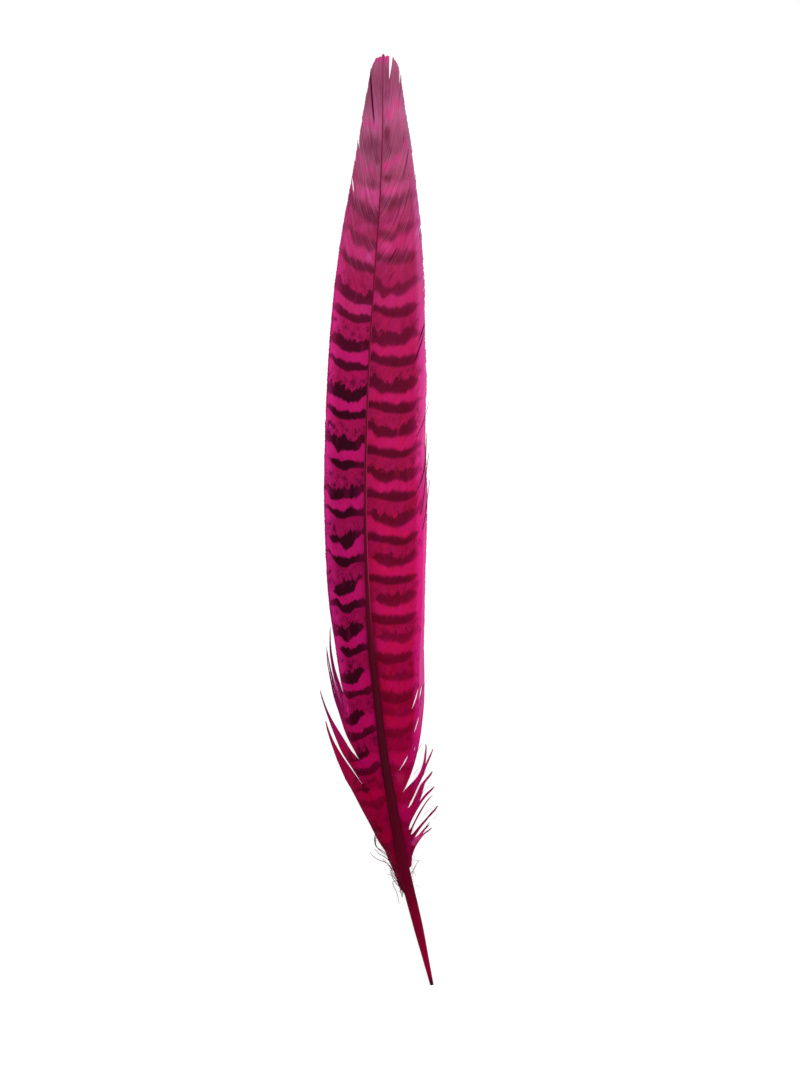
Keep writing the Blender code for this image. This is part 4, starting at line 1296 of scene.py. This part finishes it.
# %% The markings group
def markings_group():
    tree = bpy.data.node_groups.new("barred_vane", "ShaderNodeTree")
    add_sockets(tree, "INPUT", "Vector", ("Bars", "Darks", "Barb"))
    add_sockets(tree, "INPUT", "Float", GROUP_SIZES)
    add_sockets(tree, "OUTPUT", "Float", ("Dark", "Zone", "Tooth"))
    n = Nodes(tree)
    start, end = n.make("NodeGroupInput"), n.make("NodeGroupOutput")
    given = start.outputs
    phase, bar, blotch = n.split(given["Bars"])
    bar_dark, blotch_dark, share = n.split(given["Darks"])
    root, run, along = n.split(given["Barb"])
    soft, seed = given["Softness"], given["Seed"]

    tooth = n.add(n.noise(n.times(root, 1.1), n.times(run, 0.09), seed), -0.5)
    stand = n.add(n.times(share, COMB_COLUMNS), n.times(tooth, 1.4))
    comb = n.add(n.noise(stand, n.times(phase, 0.9), n.add(seed, 4.0), 1.0), -0.5)
    at = n.add(phase, n.add(n.times(comb, 0.06), n.times(tooth, 0.05)))
    bar_reach = n.add(bar, n.times(comb, BAR_TEETH))
    bars = masked(n, n.size(from_nearest(n, at)), bar_reach, soft)
    off = from_nearest(n, n.add(at, BLOTCH_PHASE))
    reach = torn_reach(n, given, blotch, comb, stand, phase, off, along)
    blotches = masked(n, n.size(off), reach, soft)
    gaps = n.noise(n.times(stand, 0.8), n.times(phase, 1.6), n.add(seed, 20.0), 1.0)
    pale_slits = n.times(n.ramp(gaps, 0.6, 0.72), given["Slits"])
    blotches = n.times(blotches, n.less(1.0, pale_slits))
    dark = n.larger(n.times(bars, bar_dark), n.times(blotches, blotch_dark))
    for label, value in (("Dark", dark), ("Zone", n.math("FRACT", at)), ("Tooth", tooth)):
        n.link(value, end.inputs[label])
    return tree


MARKINGS = markings_group()
print("the markings group has", len(MARKINGS.nodes), "nodes")

# %% [markdown]
# ## The vane's material
# On the real feather the ground is brighter on the quill's side of each blotch and duller above
# it, the rim is pinker, small flecks stand between the bars, and single barbs are a little
# lighter or darker than their neighbours. A single noise can't give all this, so the colour is
# built up in layers, as a dyer would: ground, markings, dabs, streaks. Each layer has a short
# function, and both vanes use them with their own look.

# %% What the vane's material reads
TIPWARD = (62.0, 100.0)  # between these, towards the tip, the pattern grows dull and soft


def new_material(name):
    """A material, its Principled BSDF, and short calls for its nodes."""
    material = bpy.data.materials.new(name)
    material.use_nodes = True
    return material, material.node_tree.nodes["Principled BSDF"], Nodes(material.node_tree)


def vane_readings(n):
    """What the barbs carry, by name. Lengths are in millimetres, and shares are of the vane."""
    barb, darks = n.attribute("barb"), n.attribute("darks")
    root, run, along = n.split(barb)
    dab, shade, across = n.split(n.attribute("paint"))
    return SimpleNamespace(
        barb=barb, bars=n.attribute("bars"), darks=darks, share=n.split(darks)[2],
        root=root, run=run, along=along, dab=dab, shade=shade, across=across,
        tipward=n.ramp(along, *TIPWARD),
    )


def placed_markings(n, look, at):
    """The markings group with a vane's own values."""
    marks = n.make("ShaderNodeGroup")
    marks.node_tree = MARKINGS
    softness = n.add(look["softness"], n.times(at.tipward, 0.05))
    for label, value in (
        ("Bars", at.bars), ("Darks", at.darks), ("Barb", at.barb), ("Softness", softness),
        ("Seed", look["seed"]), ("Teeth", look["teeth"]), ("Slits", look["slits"]),
    ):
        n.feed(marks.inputs[label], value)
    return marks.outputs["Dark"], marks.outputs["Zone"], marks.outputs["Tooth"]


print("the vane dulls from", TIPWARD[0], "to", TIPWARD[1], "mm along, towards the tip")

# %% The ground and its flecks
# places in a pair, from one bar (0) to the next towards the foot (1)
BRIGHT_ZONE = ((0.56, 0.7), (1.0, 0.93))
FLECK_ZONE = ((0.1, 0.24), (0.62, 0.5))
EDGE_WIDTH = 0.045  # of the vane's width
EDGE_ALONG = ((75.0, 50.0), (-66.0, -48.0))
FLECKS_ALONG = (90.0, 50.0)


def window(n, value, sides):
    """1 between two soft sides, and 0 outside them."""
    return n.times(n.ramp(value, *sides[0]), n.ramp(value, *sides[1]))


def vane_ground(n, look, at, zone, tooth):
    """The dyed ground between the markings and its rim, and an outermost edge that is painted shade on
    the left vane and paler on the right.
    """
    cloud = n.noise(n.times(at.root, 0.5), n.times(at.run, 0.25), look["seed"] + 40.0)
    bright = n.times(window(n, zone, BRIGHT_ZONE), 0.75)
    bright = n.add(bright, n.times(n.add(cloud, -0.28), 0.75))
    dull, full, at_rim = (n.by_along(at.along, look[name]) for name in ("dull", "bright", "rim"))
    ground = n.mix(bright, dull, full)
    rim = n.ramp(n.add(at.share, n.times(tooth, 0.12)), look["rim from"], look["rim to"])
    ground = n.mix(rim, ground, at_rim)
    # the outermost edge: painted shade on the left vane, a paler edge on the right
    edge = n.ramp(at.share, look["edge from"], look["edge from"] + EDGE_WIDTH)
    edge = n.times(edge, window(n, at.along, EDGE_ALONG))
    return n.mix(n.times(edge, look["edge strength"]), ground, look["edge"])


def flecks(n, look, at, zone, tooth):
    """Spots and small worm-like lines between a bar and the next blotch towards the foot."""
    level = n.add(n.times(at.along, 0.42), n.times(tooth, 1.1))
    spots = n.noise(n.times(at.across, 0.6), level, look["seed"] + 30.0, 2.0, 0.55)
    worms = n.ramp(n.size(n.add(spots, -0.5)), 0.03, 0.008)
    marks = n.larger(n.ramp(spots, 0.53, 0.63), n.times(worms, 0.6))
    near_rim = n.ramp(at.share, 0.3, 0.7)
    strength = n.add(look["flecks"][0], n.times(near_rim, look["flecks"][1]))
    where = n.times(n.add(window(n, zone, FLECK_ZONE), n.times(near_rim, 0.22)), strength)
    where = n.times(where, n.times(n.ramp(at.along, *FLECKS_ALONG), n.ramp(at.share, 1.0, 0.9)))
    return n.times(marks, where)


print("flecks stand from", FLECK_ZONE[0][0], "to", FLECK_ZONE[1][0], "of the way between bars")

# %% Fading, dabs and streaks
def faded(n, look, at, dark):
    """Markings fade towards the rim, and some beside the shaft."""
    rim = n.times(n.ramp(at.share, look["fade from"], 1.0), look["fade"])
    inner = n.times(n.ramp(at.share, 0.34, 0.06), n.ramp(at.along, 40.0, 5.0))
    return n.times(dark, n.less(1.0, n.add(rim, n.times(inner, look["inner fade"]))))


def painted_shade_by_shaft(n, at):
    """Painted shade: a dark line where the barbs leave the shaft, towards the foot."""
    near = n.ramp(n.times(at.share, 14.0), 2.4, 0.8)
    return n.times(n.times(near, n.ramp(at.along, 0.0, -45.0)), 0.75)


def dabs_and_shade(n, look, at, colour):
    """Dabs of dye, the tip's pale barbs, and the painted shade of one barb on the next."""
    colour = n.mix(n.ramp(at.dab, 0.1, 1.0), colour, look["pink"])
    colour = n.mix(n.times(n.ramp(at.dab, -0.1, -1.0), 0.85), colour, look["dusk"])
    pale = n.noise(n.times(at.root, 2.3), n.times(at.run, 0.08), 12.0, 1.0)
    pale = n.times(n.ramp(pale, 0.52, 0.7), n.times(at.tipward, 0.4))
    colour = n.mix(pale, colour, look["pale"])
    return n.mix(n.times(at.shade, 0.85), colour, look["shade"])


def streaked(n, look, at, colour, streak):
    """Single barbs a little lighter, darker or redder than their neighbours, and painted shade that
    darkens the vane towards the shaft.
    """
    grain = n.noise(n.times(at.root, 0.8), n.times(at.run, 0.45), 7.0, 3.0, 0.75)
    strength = n.add(0.34, n.times(at.tipward, 0.75))
    value = n.add(look["value"], n.times(at.tipward, -0.05))
    value = n.add(value, n.times(n.add(streak, -0.5), strength))
    value = n.add(value, n.times(n.add(grain, -0.5), 0.36))
    # painted shade: the vane grows darker towards the shaft
    value = n.times(value, n.add(1.0, n.times(n.ramp(at.share, 0.42, 0.02), look["shade by shaft"])))
    hue = n.noise(n.times(at.root, 0.3), n.times(at.run, 0.16), 3.0)
    return n.toned(colour, value, n.add(0.5, n.times(n.add(hue, -0.5), 0.035)))


layers = (faded, painted_shade_by_shaft, dabs_and_shade, streaked)
print("layers over the ground:", ", ".join(layer.__name__ for layer in layers))

# %% Vane material
BARBULE_RELIEF = (0.25, 0.00005)  # (strength, metres)


def add_bump(n, shader, height, relief):
    bump = n.make("ShaderNodeBump")
    bump.inputs["Strength"].default_value, bump.inputs["Distance"].default_value = relief
    n.link(height, bump.inputs["Height"])
    n.link(bump.outputs["Normal"], shader.inputs["Normal"])


def vane_material(name, look):
    material, shader, n = new_material(name)
    at = vane_readings(n)
    dark, zone, tooth = placed_markings(n, look, at)
    dark = n.larger(faded(n, look, at, dark), flecks(n, look, at, zone, tooth))
    # painted shade beside the shaft
    dark = n.larger(dark, painted_shade_by_shaft(n, at))
    ground = vane_ground(n, look, at, zone, tooth)
    colour = n.mix(dark, ground, n.by_along(at.along, look["bar"]))
    colour = dabs_and_shade(n, look, at, colour)
    streak = n.noise(n.times(at.root, 1.6), n.times(at.run, 0.06), 1.0, 3.0, 0.7)
    n.link(streaked(n, look, at, colour, streak), shader.inputs["Base Color"])
    n.link(n.add(0.48, n.times(streak, 0.16)), shader.inputs["Roughness"])
    # barbules: a fine herringbone that only shows close up
    add_bump(n, shader, n.noise(at.root, n.times(at.run, 14.0), 2.0, 1.0), BARBULE_RELIEF)
    shader.inputs["Specular IOR Level"].default_value = 0.0  # barbs are matt
    return material


print("the barbules' relief is", BARBULE_RELIEF[1] / MM, "mm")

# %% The left vane's look
# "from" and "to" are shares of the vane's width, and "value" is how bright the whole vane is
LEFT_LOOK = {
    "seed": 2.0, "teeth": 0.12, "slits": 0.14, "softness": 0.03, "value": 0.88, "shade by shaft": -0.12,
    "rim from": 0.66, "rim to": 0.96, "fade": 0.4, "fade from": 0.74, "inner fade": 0.24,
    # the edge colour here is painted shade along the outermost rim
    "edge": dye(96, 12, 66), "edge strength": 0.75, "edge from": 0.94, "flecks": (0.6, 0.06),
    "pink": dye(206, 64, 134), "dusk": dye(118, 44, 72), "shade": dye(72, 8, 38),
    "pale": dye(192, 112, 152),
    # (along, red, green, blue)
    "dull": [
        (-97.0, 120, 2, 38), (-80.0, 136, 3, 46), (-60.0, 142, 8, 62), (-10.0, 146, 16, 72),
        (40.0, 160, 20, 76), (65.0, 164, 26, 78), (85.0, 158, 42, 86), (110.0, 162, 80, 114),
    ],
    "bright": [
        (-97.0, 132, 2, 42), (-80.0, 154, 3, 56), (-60.0, 172, 10, 86), (-10.0, 180, 20, 98),
        (40.0, 190, 24, 104), (80.0, 194, 50, 114), (110.0, 190, 92, 138),
    ],
    "rim": [
        (-97.0, 120, 4, 40), (-70.0, 148, 10, 58), (-52.0, 172, 20, 92), (-40.0, 186, 28, 112),
        (20.0, 204, 38, 126), (60.0, 208, 42, 124), (90.0, 184, 56, 114), (115.0, 164, 84, 116),
    ],
    "bar": [
        (-92.0, 92, 4, 28), (-70.0, 56, 6, 23), (20.0, 52, 11, 26), (60.0, 70, 14, 34),
        (85.0, 104, 32, 56), (110.0, 134, 64, 90),
    ],
}
left_material = vane_material("dyed_left_vane", LEFT_LOOK)
print("the left vane's material has", len(left_material.node_tree.nodes), "nodes")

# %% The right vane's look
RIGHT_LOOK = {
    "seed": 5.0, "teeth": 0.14, "slits": 0.35, "softness": 0.05, "value": 0.92, "shade by shaft": -0.18,
    "rim from": 0.8, "rim to": 0.95, "fade": 0.62, "fade from": 0.66, "inner fade": 0.0,
    "edge": dye(226, 116, 178), "edge strength": 0.35, "edge from": 0.955, "flecks": (0.3, 0.1),
    "pink": dye(208, 62, 128), "dusk": dye(116, 34, 62), "shade": dye(84, 8, 40),
    "pale": dye(196, 108, 150),
    "dull": [
        (-97.0, 112, 2, 42), (-75.0, 136, 4, 50), (-60.0, 134, 4, 46), (-20.0, 150, 14, 62),
        (40.0, 156, 22, 70), (65.0, 160, 26, 76), (85.0, 160, 42, 86), (112.0, 166, 80, 114),
    ],
    "bright": [
        (-97.0, 136, 6, 60), (-75.0, 166, 8, 72), (-60.0, 164, 8, 62), (-20.0, 188, 18, 84),
        (40.0, 188, 26, 92), (80.0, 192, 44, 108), (112.0, 190, 90, 136),
    ],
    "rim": [
        (-97.0, 122, 6, 60), (-75.0, 158, 14, 84), (-60.0, 186, 24, 108), (-10.0, 218, 34, 124),
        (50.0, 214, 62, 140), (90.0, 198, 84, 146), (115.0, 178, 102, 140),
    ],
    "bar": [
        (-90.0, 98, 4, 35), (-50.0, 86, 7, 30), (20.0, 80, 13, 33), (60.0, 86, 16, 38),
        (85.0, 108, 32, 58), (110.0, 134, 60, 88),
    ],
}
right_material = vane_material("dyed_right_vane", RIGHT_LOOK)
print("the right vane's material has", len(right_material.node_tree.nodes), "nodes")

# %% [markdown]
# ## Loose hairs, and sweeping the pieces
# Loose hairs are thin enough to look paler than the vane that they come from. Real ones let light
# through, but these are opaque, so they are mixed from a dark dye and paler stretches of painted
# light. With its material, each set of lines can be swept into a piece.

# %% Material of the loose hairs
def down_material():
    material, shader, n = new_material("dyed_down")
    root, run, along = n.split(n.attribute("barb"))
    # painted light: paler stretches along each hair stand in for light through it
    pale = n.ramp(n.noise(n.times(root, 3.0), n.times(run, 0.4), 0.0), 0.35, 0.65)
    n.link(n.mix(pale, dye(62, 12, 34), dye(114, 42, 68)), shader.inputs["Base Color"])
    shader.inputs["Roughness"].default_value = 0.6
    shader.inputs["Specular IOR Level"].default_value = 0.04
    return material


loose_material = down_material()
print("the loose hairs' material has", len(loose_material.node_tree.nodes), "nodes")

# %% Sweep the pieces
left_vane = ribbons("left_vane", left_lines, left_material, columns=4)
right_vane = ribbons("right_vane", right_lines, right_material, columns=4)
whisker_piece = ribbons("whiskers", whiskers, loose_material, columns=1)
down_piece = ribbons("down", curls, loose_material, columns=2)

# %% [markdown]
# ## Shaft and quill
# The shaft is one long tapering tube of horn, wider than deep, with a shallow groove underneath.
# A beveled curve would be quick, but it can't have the groove. So the shaft is lofted: a ring of
# points every few millimetres, each scaled to the shaft's width there and joined to the next.

# %% The shaft's rings
SHAFT_SIDES = 20
SHAFT_RING_STEP = 1.8
SHAFT_POINT = 0.6  # how far its fine point runs past the last barb's root
LEAST_RING_HEIGHT = 0.02
GROOVE_DEPTH, GROOVE_WIDTH = 0.22, 0.35  # shares of the half-depth and the half-width
AROUND = 2 * math.pi * np.arange(SHAFT_SIDES) / SHAFT_SIDES


def ring_at(along):
    """A ring of points round the shaft, wider than deep, with its groove underneath."""
    wide = shaft_half_width(along)
    across, up = np.cos(AROUND) * wide, np.sin(AROUND) * wide * SHAFT_DEPTH_SHARE
    groove = 1 - GROOVE_DEPTH * np.exp(-((across / (GROOVE_WIDTH * wide)) ** 2))
    up = np.where(up < 0, up * groove, up)
    return in_world(along, across, np.maximum(shaft_height(along) + up, LEAST_RING_HEIGHT))


print("the quill's end is", round(float(ring_at(QUILL_END)[:, 2].max()) / MM, 2), "mm high")

# %% Loft the shaft
def mesh_from(bm, name, material):
    mesh = bpy.data.meshes.new(name)
    bm.to_mesh(mesh)
    bm.free()
    mesh.materials.append(material)
    return mesh


def build_shaft(material):
    count = math.ceil((SHAFT_TIP - QUILL_END) / SHAFT_RING_STEP)
    bm = bmesh.new()
    place = bm.verts.layers.float_vector.new("place")
    rings = []
    for along in np.linspace(QUILL_END, SHAFT_TIP + SHAFT_POINT, count + 1):
        ring = [bm.verts.new(point) for point in ring_at(along)]
        for vert, turn in zip(ring, AROUND):
            vert[place] = (along, math.cos(turn), math.sin(turn))
        rings.append(ring)
    for low, high in zip(rings, rings[1:]):
        for k in range(SHAFT_SIDES):
            after = (k + 1) % SHAFT_SIDES
            bm.faces.new([low[k], low[after], high[after], high[k]])
    bm.faces.new(rings[0][::-1])
    bm.faces.new(rings[-1])
    bmesh.ops.recalc_face_normals(bm, faces=bm.faces)
    mesh = mesh_from(bm, "shaft", material)
    mesh.shade_smooth()
    print("the shaft has", len(mesh.polygons), "faces")
    return add_object("shaft", mesh)


print("the shaft's rings are", SHAFT_RING_STEP, "mm apart")

# %% [markdown]
# ## The shaft's material
# The horn is a deep red at the quill, darkest where the vanes begin, and lighter again towards
# the tip. On the tip's half a painted highlight runs along each side, and nearer the foot both
# edges are darkened with painted shade. Lamps would light the whole length alike, so this painted
# light and shade is mixed into the colour, by how far round the shaft a point lies. Each ring
# carries that for the material to read.

# %% Shaft material
# (along, red, green, blue)
SHAFT_COLOURS = [
    (-134.8, 60, 1, 26), (-131.0, 126, 2, 44), (-118.0, 110, 1, 34), (-104.0, 82, 1, 26),
    (-92.0, 72, 3, 23), (-70.0, 62, 8, 22), (-45.0, 66, 8, 24), (-20.0, 78, 9, 28),
    (10.0, 88, 10, 33), (60.0, 94, 12, 40), (85.0, 98, 12, 45), (123.0, 106, 22, 54),
    (132.0, 156, 34, 92),
]
# (strength, colour, how far round it starts and is full, where along it starts and is full),
# with two such stretches where it has a soft end at both
# painted highlights: a paler line along each side of the shaft
PAINTED_SIDE_HIGHLIGHTS = [
    (0.8, dye(156, 44, 80), (0.3, 0.85), (-45.0, -5.0)),
    (0.75, dye(142, 34, 70), (-0.4, -0.8), (-10.0, 30.0)),
]
# painted shade at both edges of the round shaft, nearer the foot
PAINTED_EDGE_SHADE = (0.5, dye(52, 2, 18), (0.72, 0.98), ((-20.0, -50.0), (-100.0, -82.0)))
SHAFT_RELIEF = (0.3, 0.00008)  # (strength, metres)


def shaft_material():
    material, shader, n = new_material("dyed_shaft")
    along, around, up = n.split(n.attribute("place"))
    grain = n.noise(n.times(along, 0.36), n.times(around, 5.0), 0.0, 3.0, 0.6)
    colour = n.by_along(along, SHAFT_COLOURS)
    # painted highlights along the shaft's sides
    for strength, paler, side, stretch in PAINTED_SIDE_HIGHLIGHTS:
        line = n.times(n.ramp(around, *side), n.ramp(along, *stretch))
        colour = n.mix(n.times(line, strength), colour, paler)
    # painted shade at the shaft's edges
    strength, darker, side, stretch = PAINTED_EDGE_SHADE
    edges = n.times(n.ramp(n.size(around), *side), window(n, along, stretch))
    colour = n.mix(n.times(edges, strength), colour, darker)
    n.link(n.toned(colour, n.add(0.8, n.times(grain, 0.4))), shader.inputs["Base Color"])
    n.link(n.add(0.36, n.times(grain, 0.2)), shader.inputs["Roughness"])
    add_bump(n, shader, grain, SHAFT_RELIEF)
    shader.inputs["Specular IOR Level"].default_value = 0.012
    return material


shaft = build_shaft(shaft_material())

# %% [markdown]
# ## Tie the pieces to the packed model
# The real feather is one grown thing, so every piece rides on the one body and stands for the
# packed feather. The pieces could be joined, but kept apart they can have their own finishes.

# %% Ride and replace
PIECES = (left_vane, right_vane, whisker_piece, down_piece, shaft)
for piece in PIECES:
    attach(piece, "root")
    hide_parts("feather")
print("pieces:", ", ".join(piece.name for piece in PIECES))

# %% [markdown]
# ## Floor, light and camera
# The feather lies on a plain white table and is seen from straight above. A bare lamp would burn
# the table out and leave hard shadows, so a white sky gives even light, and one large soft lamp
# to the right gives the barbs their relief and a faint shadow.

# %% Floor
TABLE_HALF_SIDE = 2.0  # metres
TABLE_GLOW = 0.82  # keeps the table white


def add_floor():
    white, shader, n = new_material("white_table")
    for name, value in (
        ("Base Color", (0.25, 0.25, 0.25, 1)), ("Emission Color", (1, 1, 1, 1)),
        ("Emission Strength", TABLE_GLOW), ("Roughness", 0.8), ("Specular IOR Level", 0.1),
    ):
        shader.inputs[name].default_value = value
    bm = bmesh.new()
    bmesh.ops.create_grid(bm, x_segments=1, y_segments=1, size=TABLE_HALF_SIDE)
    floor = add_object("floor", mesh_from(bm, "floor", white))
    print("the floor is", round(floor.dimensions.x, 1), "m wide")


add_floor()

# %% Light
SKY = 0.94
LAMP_PLACE, LAMP_SIZE, LAMP_POWER = (0.5, 0.35, 0.8), 0.9, 4.0  # metres, metres, watts


def add_lamp(name, place, size, power):
    data = bpy.data.lights.new(name, "AREA")
    data.shape, data.size, data.energy = "DISK", size, power
    lamp = add_object(name, data)
    lamp.location = place
    lamp.rotation_euler = (-Vector(place)).to_track_quat("-Z", "Y").to_euler()
    return lamp


world = bpy.data.worlds.new("studio")
bpy.context.scene.world = world
world.use_nodes = True
sky = world.node_tree.nodes["Background"]
sky.inputs["Color"].default_value = (1.0, 1.0, 1.0, 1)
sky.inputs["Strength"].default_value = SKY
key = add_lamp("key", LAMP_PLACE, LAMP_SIZE, LAMP_POWER)
bpy.context.scene.view_settings.view_transform = "Standard"
print("the lamp is", round(key.location.length, 2), "m from the feather")

# %% Camera
PIXEL = 0.29 * MM  # one pixel of the 800 by 1067 picture, on the table
PICTURE = (800, 1067)
FEATHER_IN_PICTURE = (379.5, 519.9)  # the pixel where along and sideways are 0
LENS, SENSOR = 100.0, 36.0
camera_data = bpy.data.cameras.new("camera")
camera_data.lens, camera_data.sensor_width = LENS, SENSOR
camera_data.clip_start, camera_data.clip_end = 0.05, 20.0
camera = add_object("camera", camera_data)
camera.location = (
    (PICTURE[0] / 2 - FEATHER_IN_PICTURE[0]) * PIXEL - CENTRE[0] * MM,
    (FEATHER_IN_PICTURE[1] - PICTURE[1] / 2) * PIXEL - CENTRE[1] * MM,
    PICTURE[1] * PIXEL * LENS / SENSOR,
)
bpy.context.scene.camera = camera
print("the camera is", round(camera.location.z, 3), "m above the table")
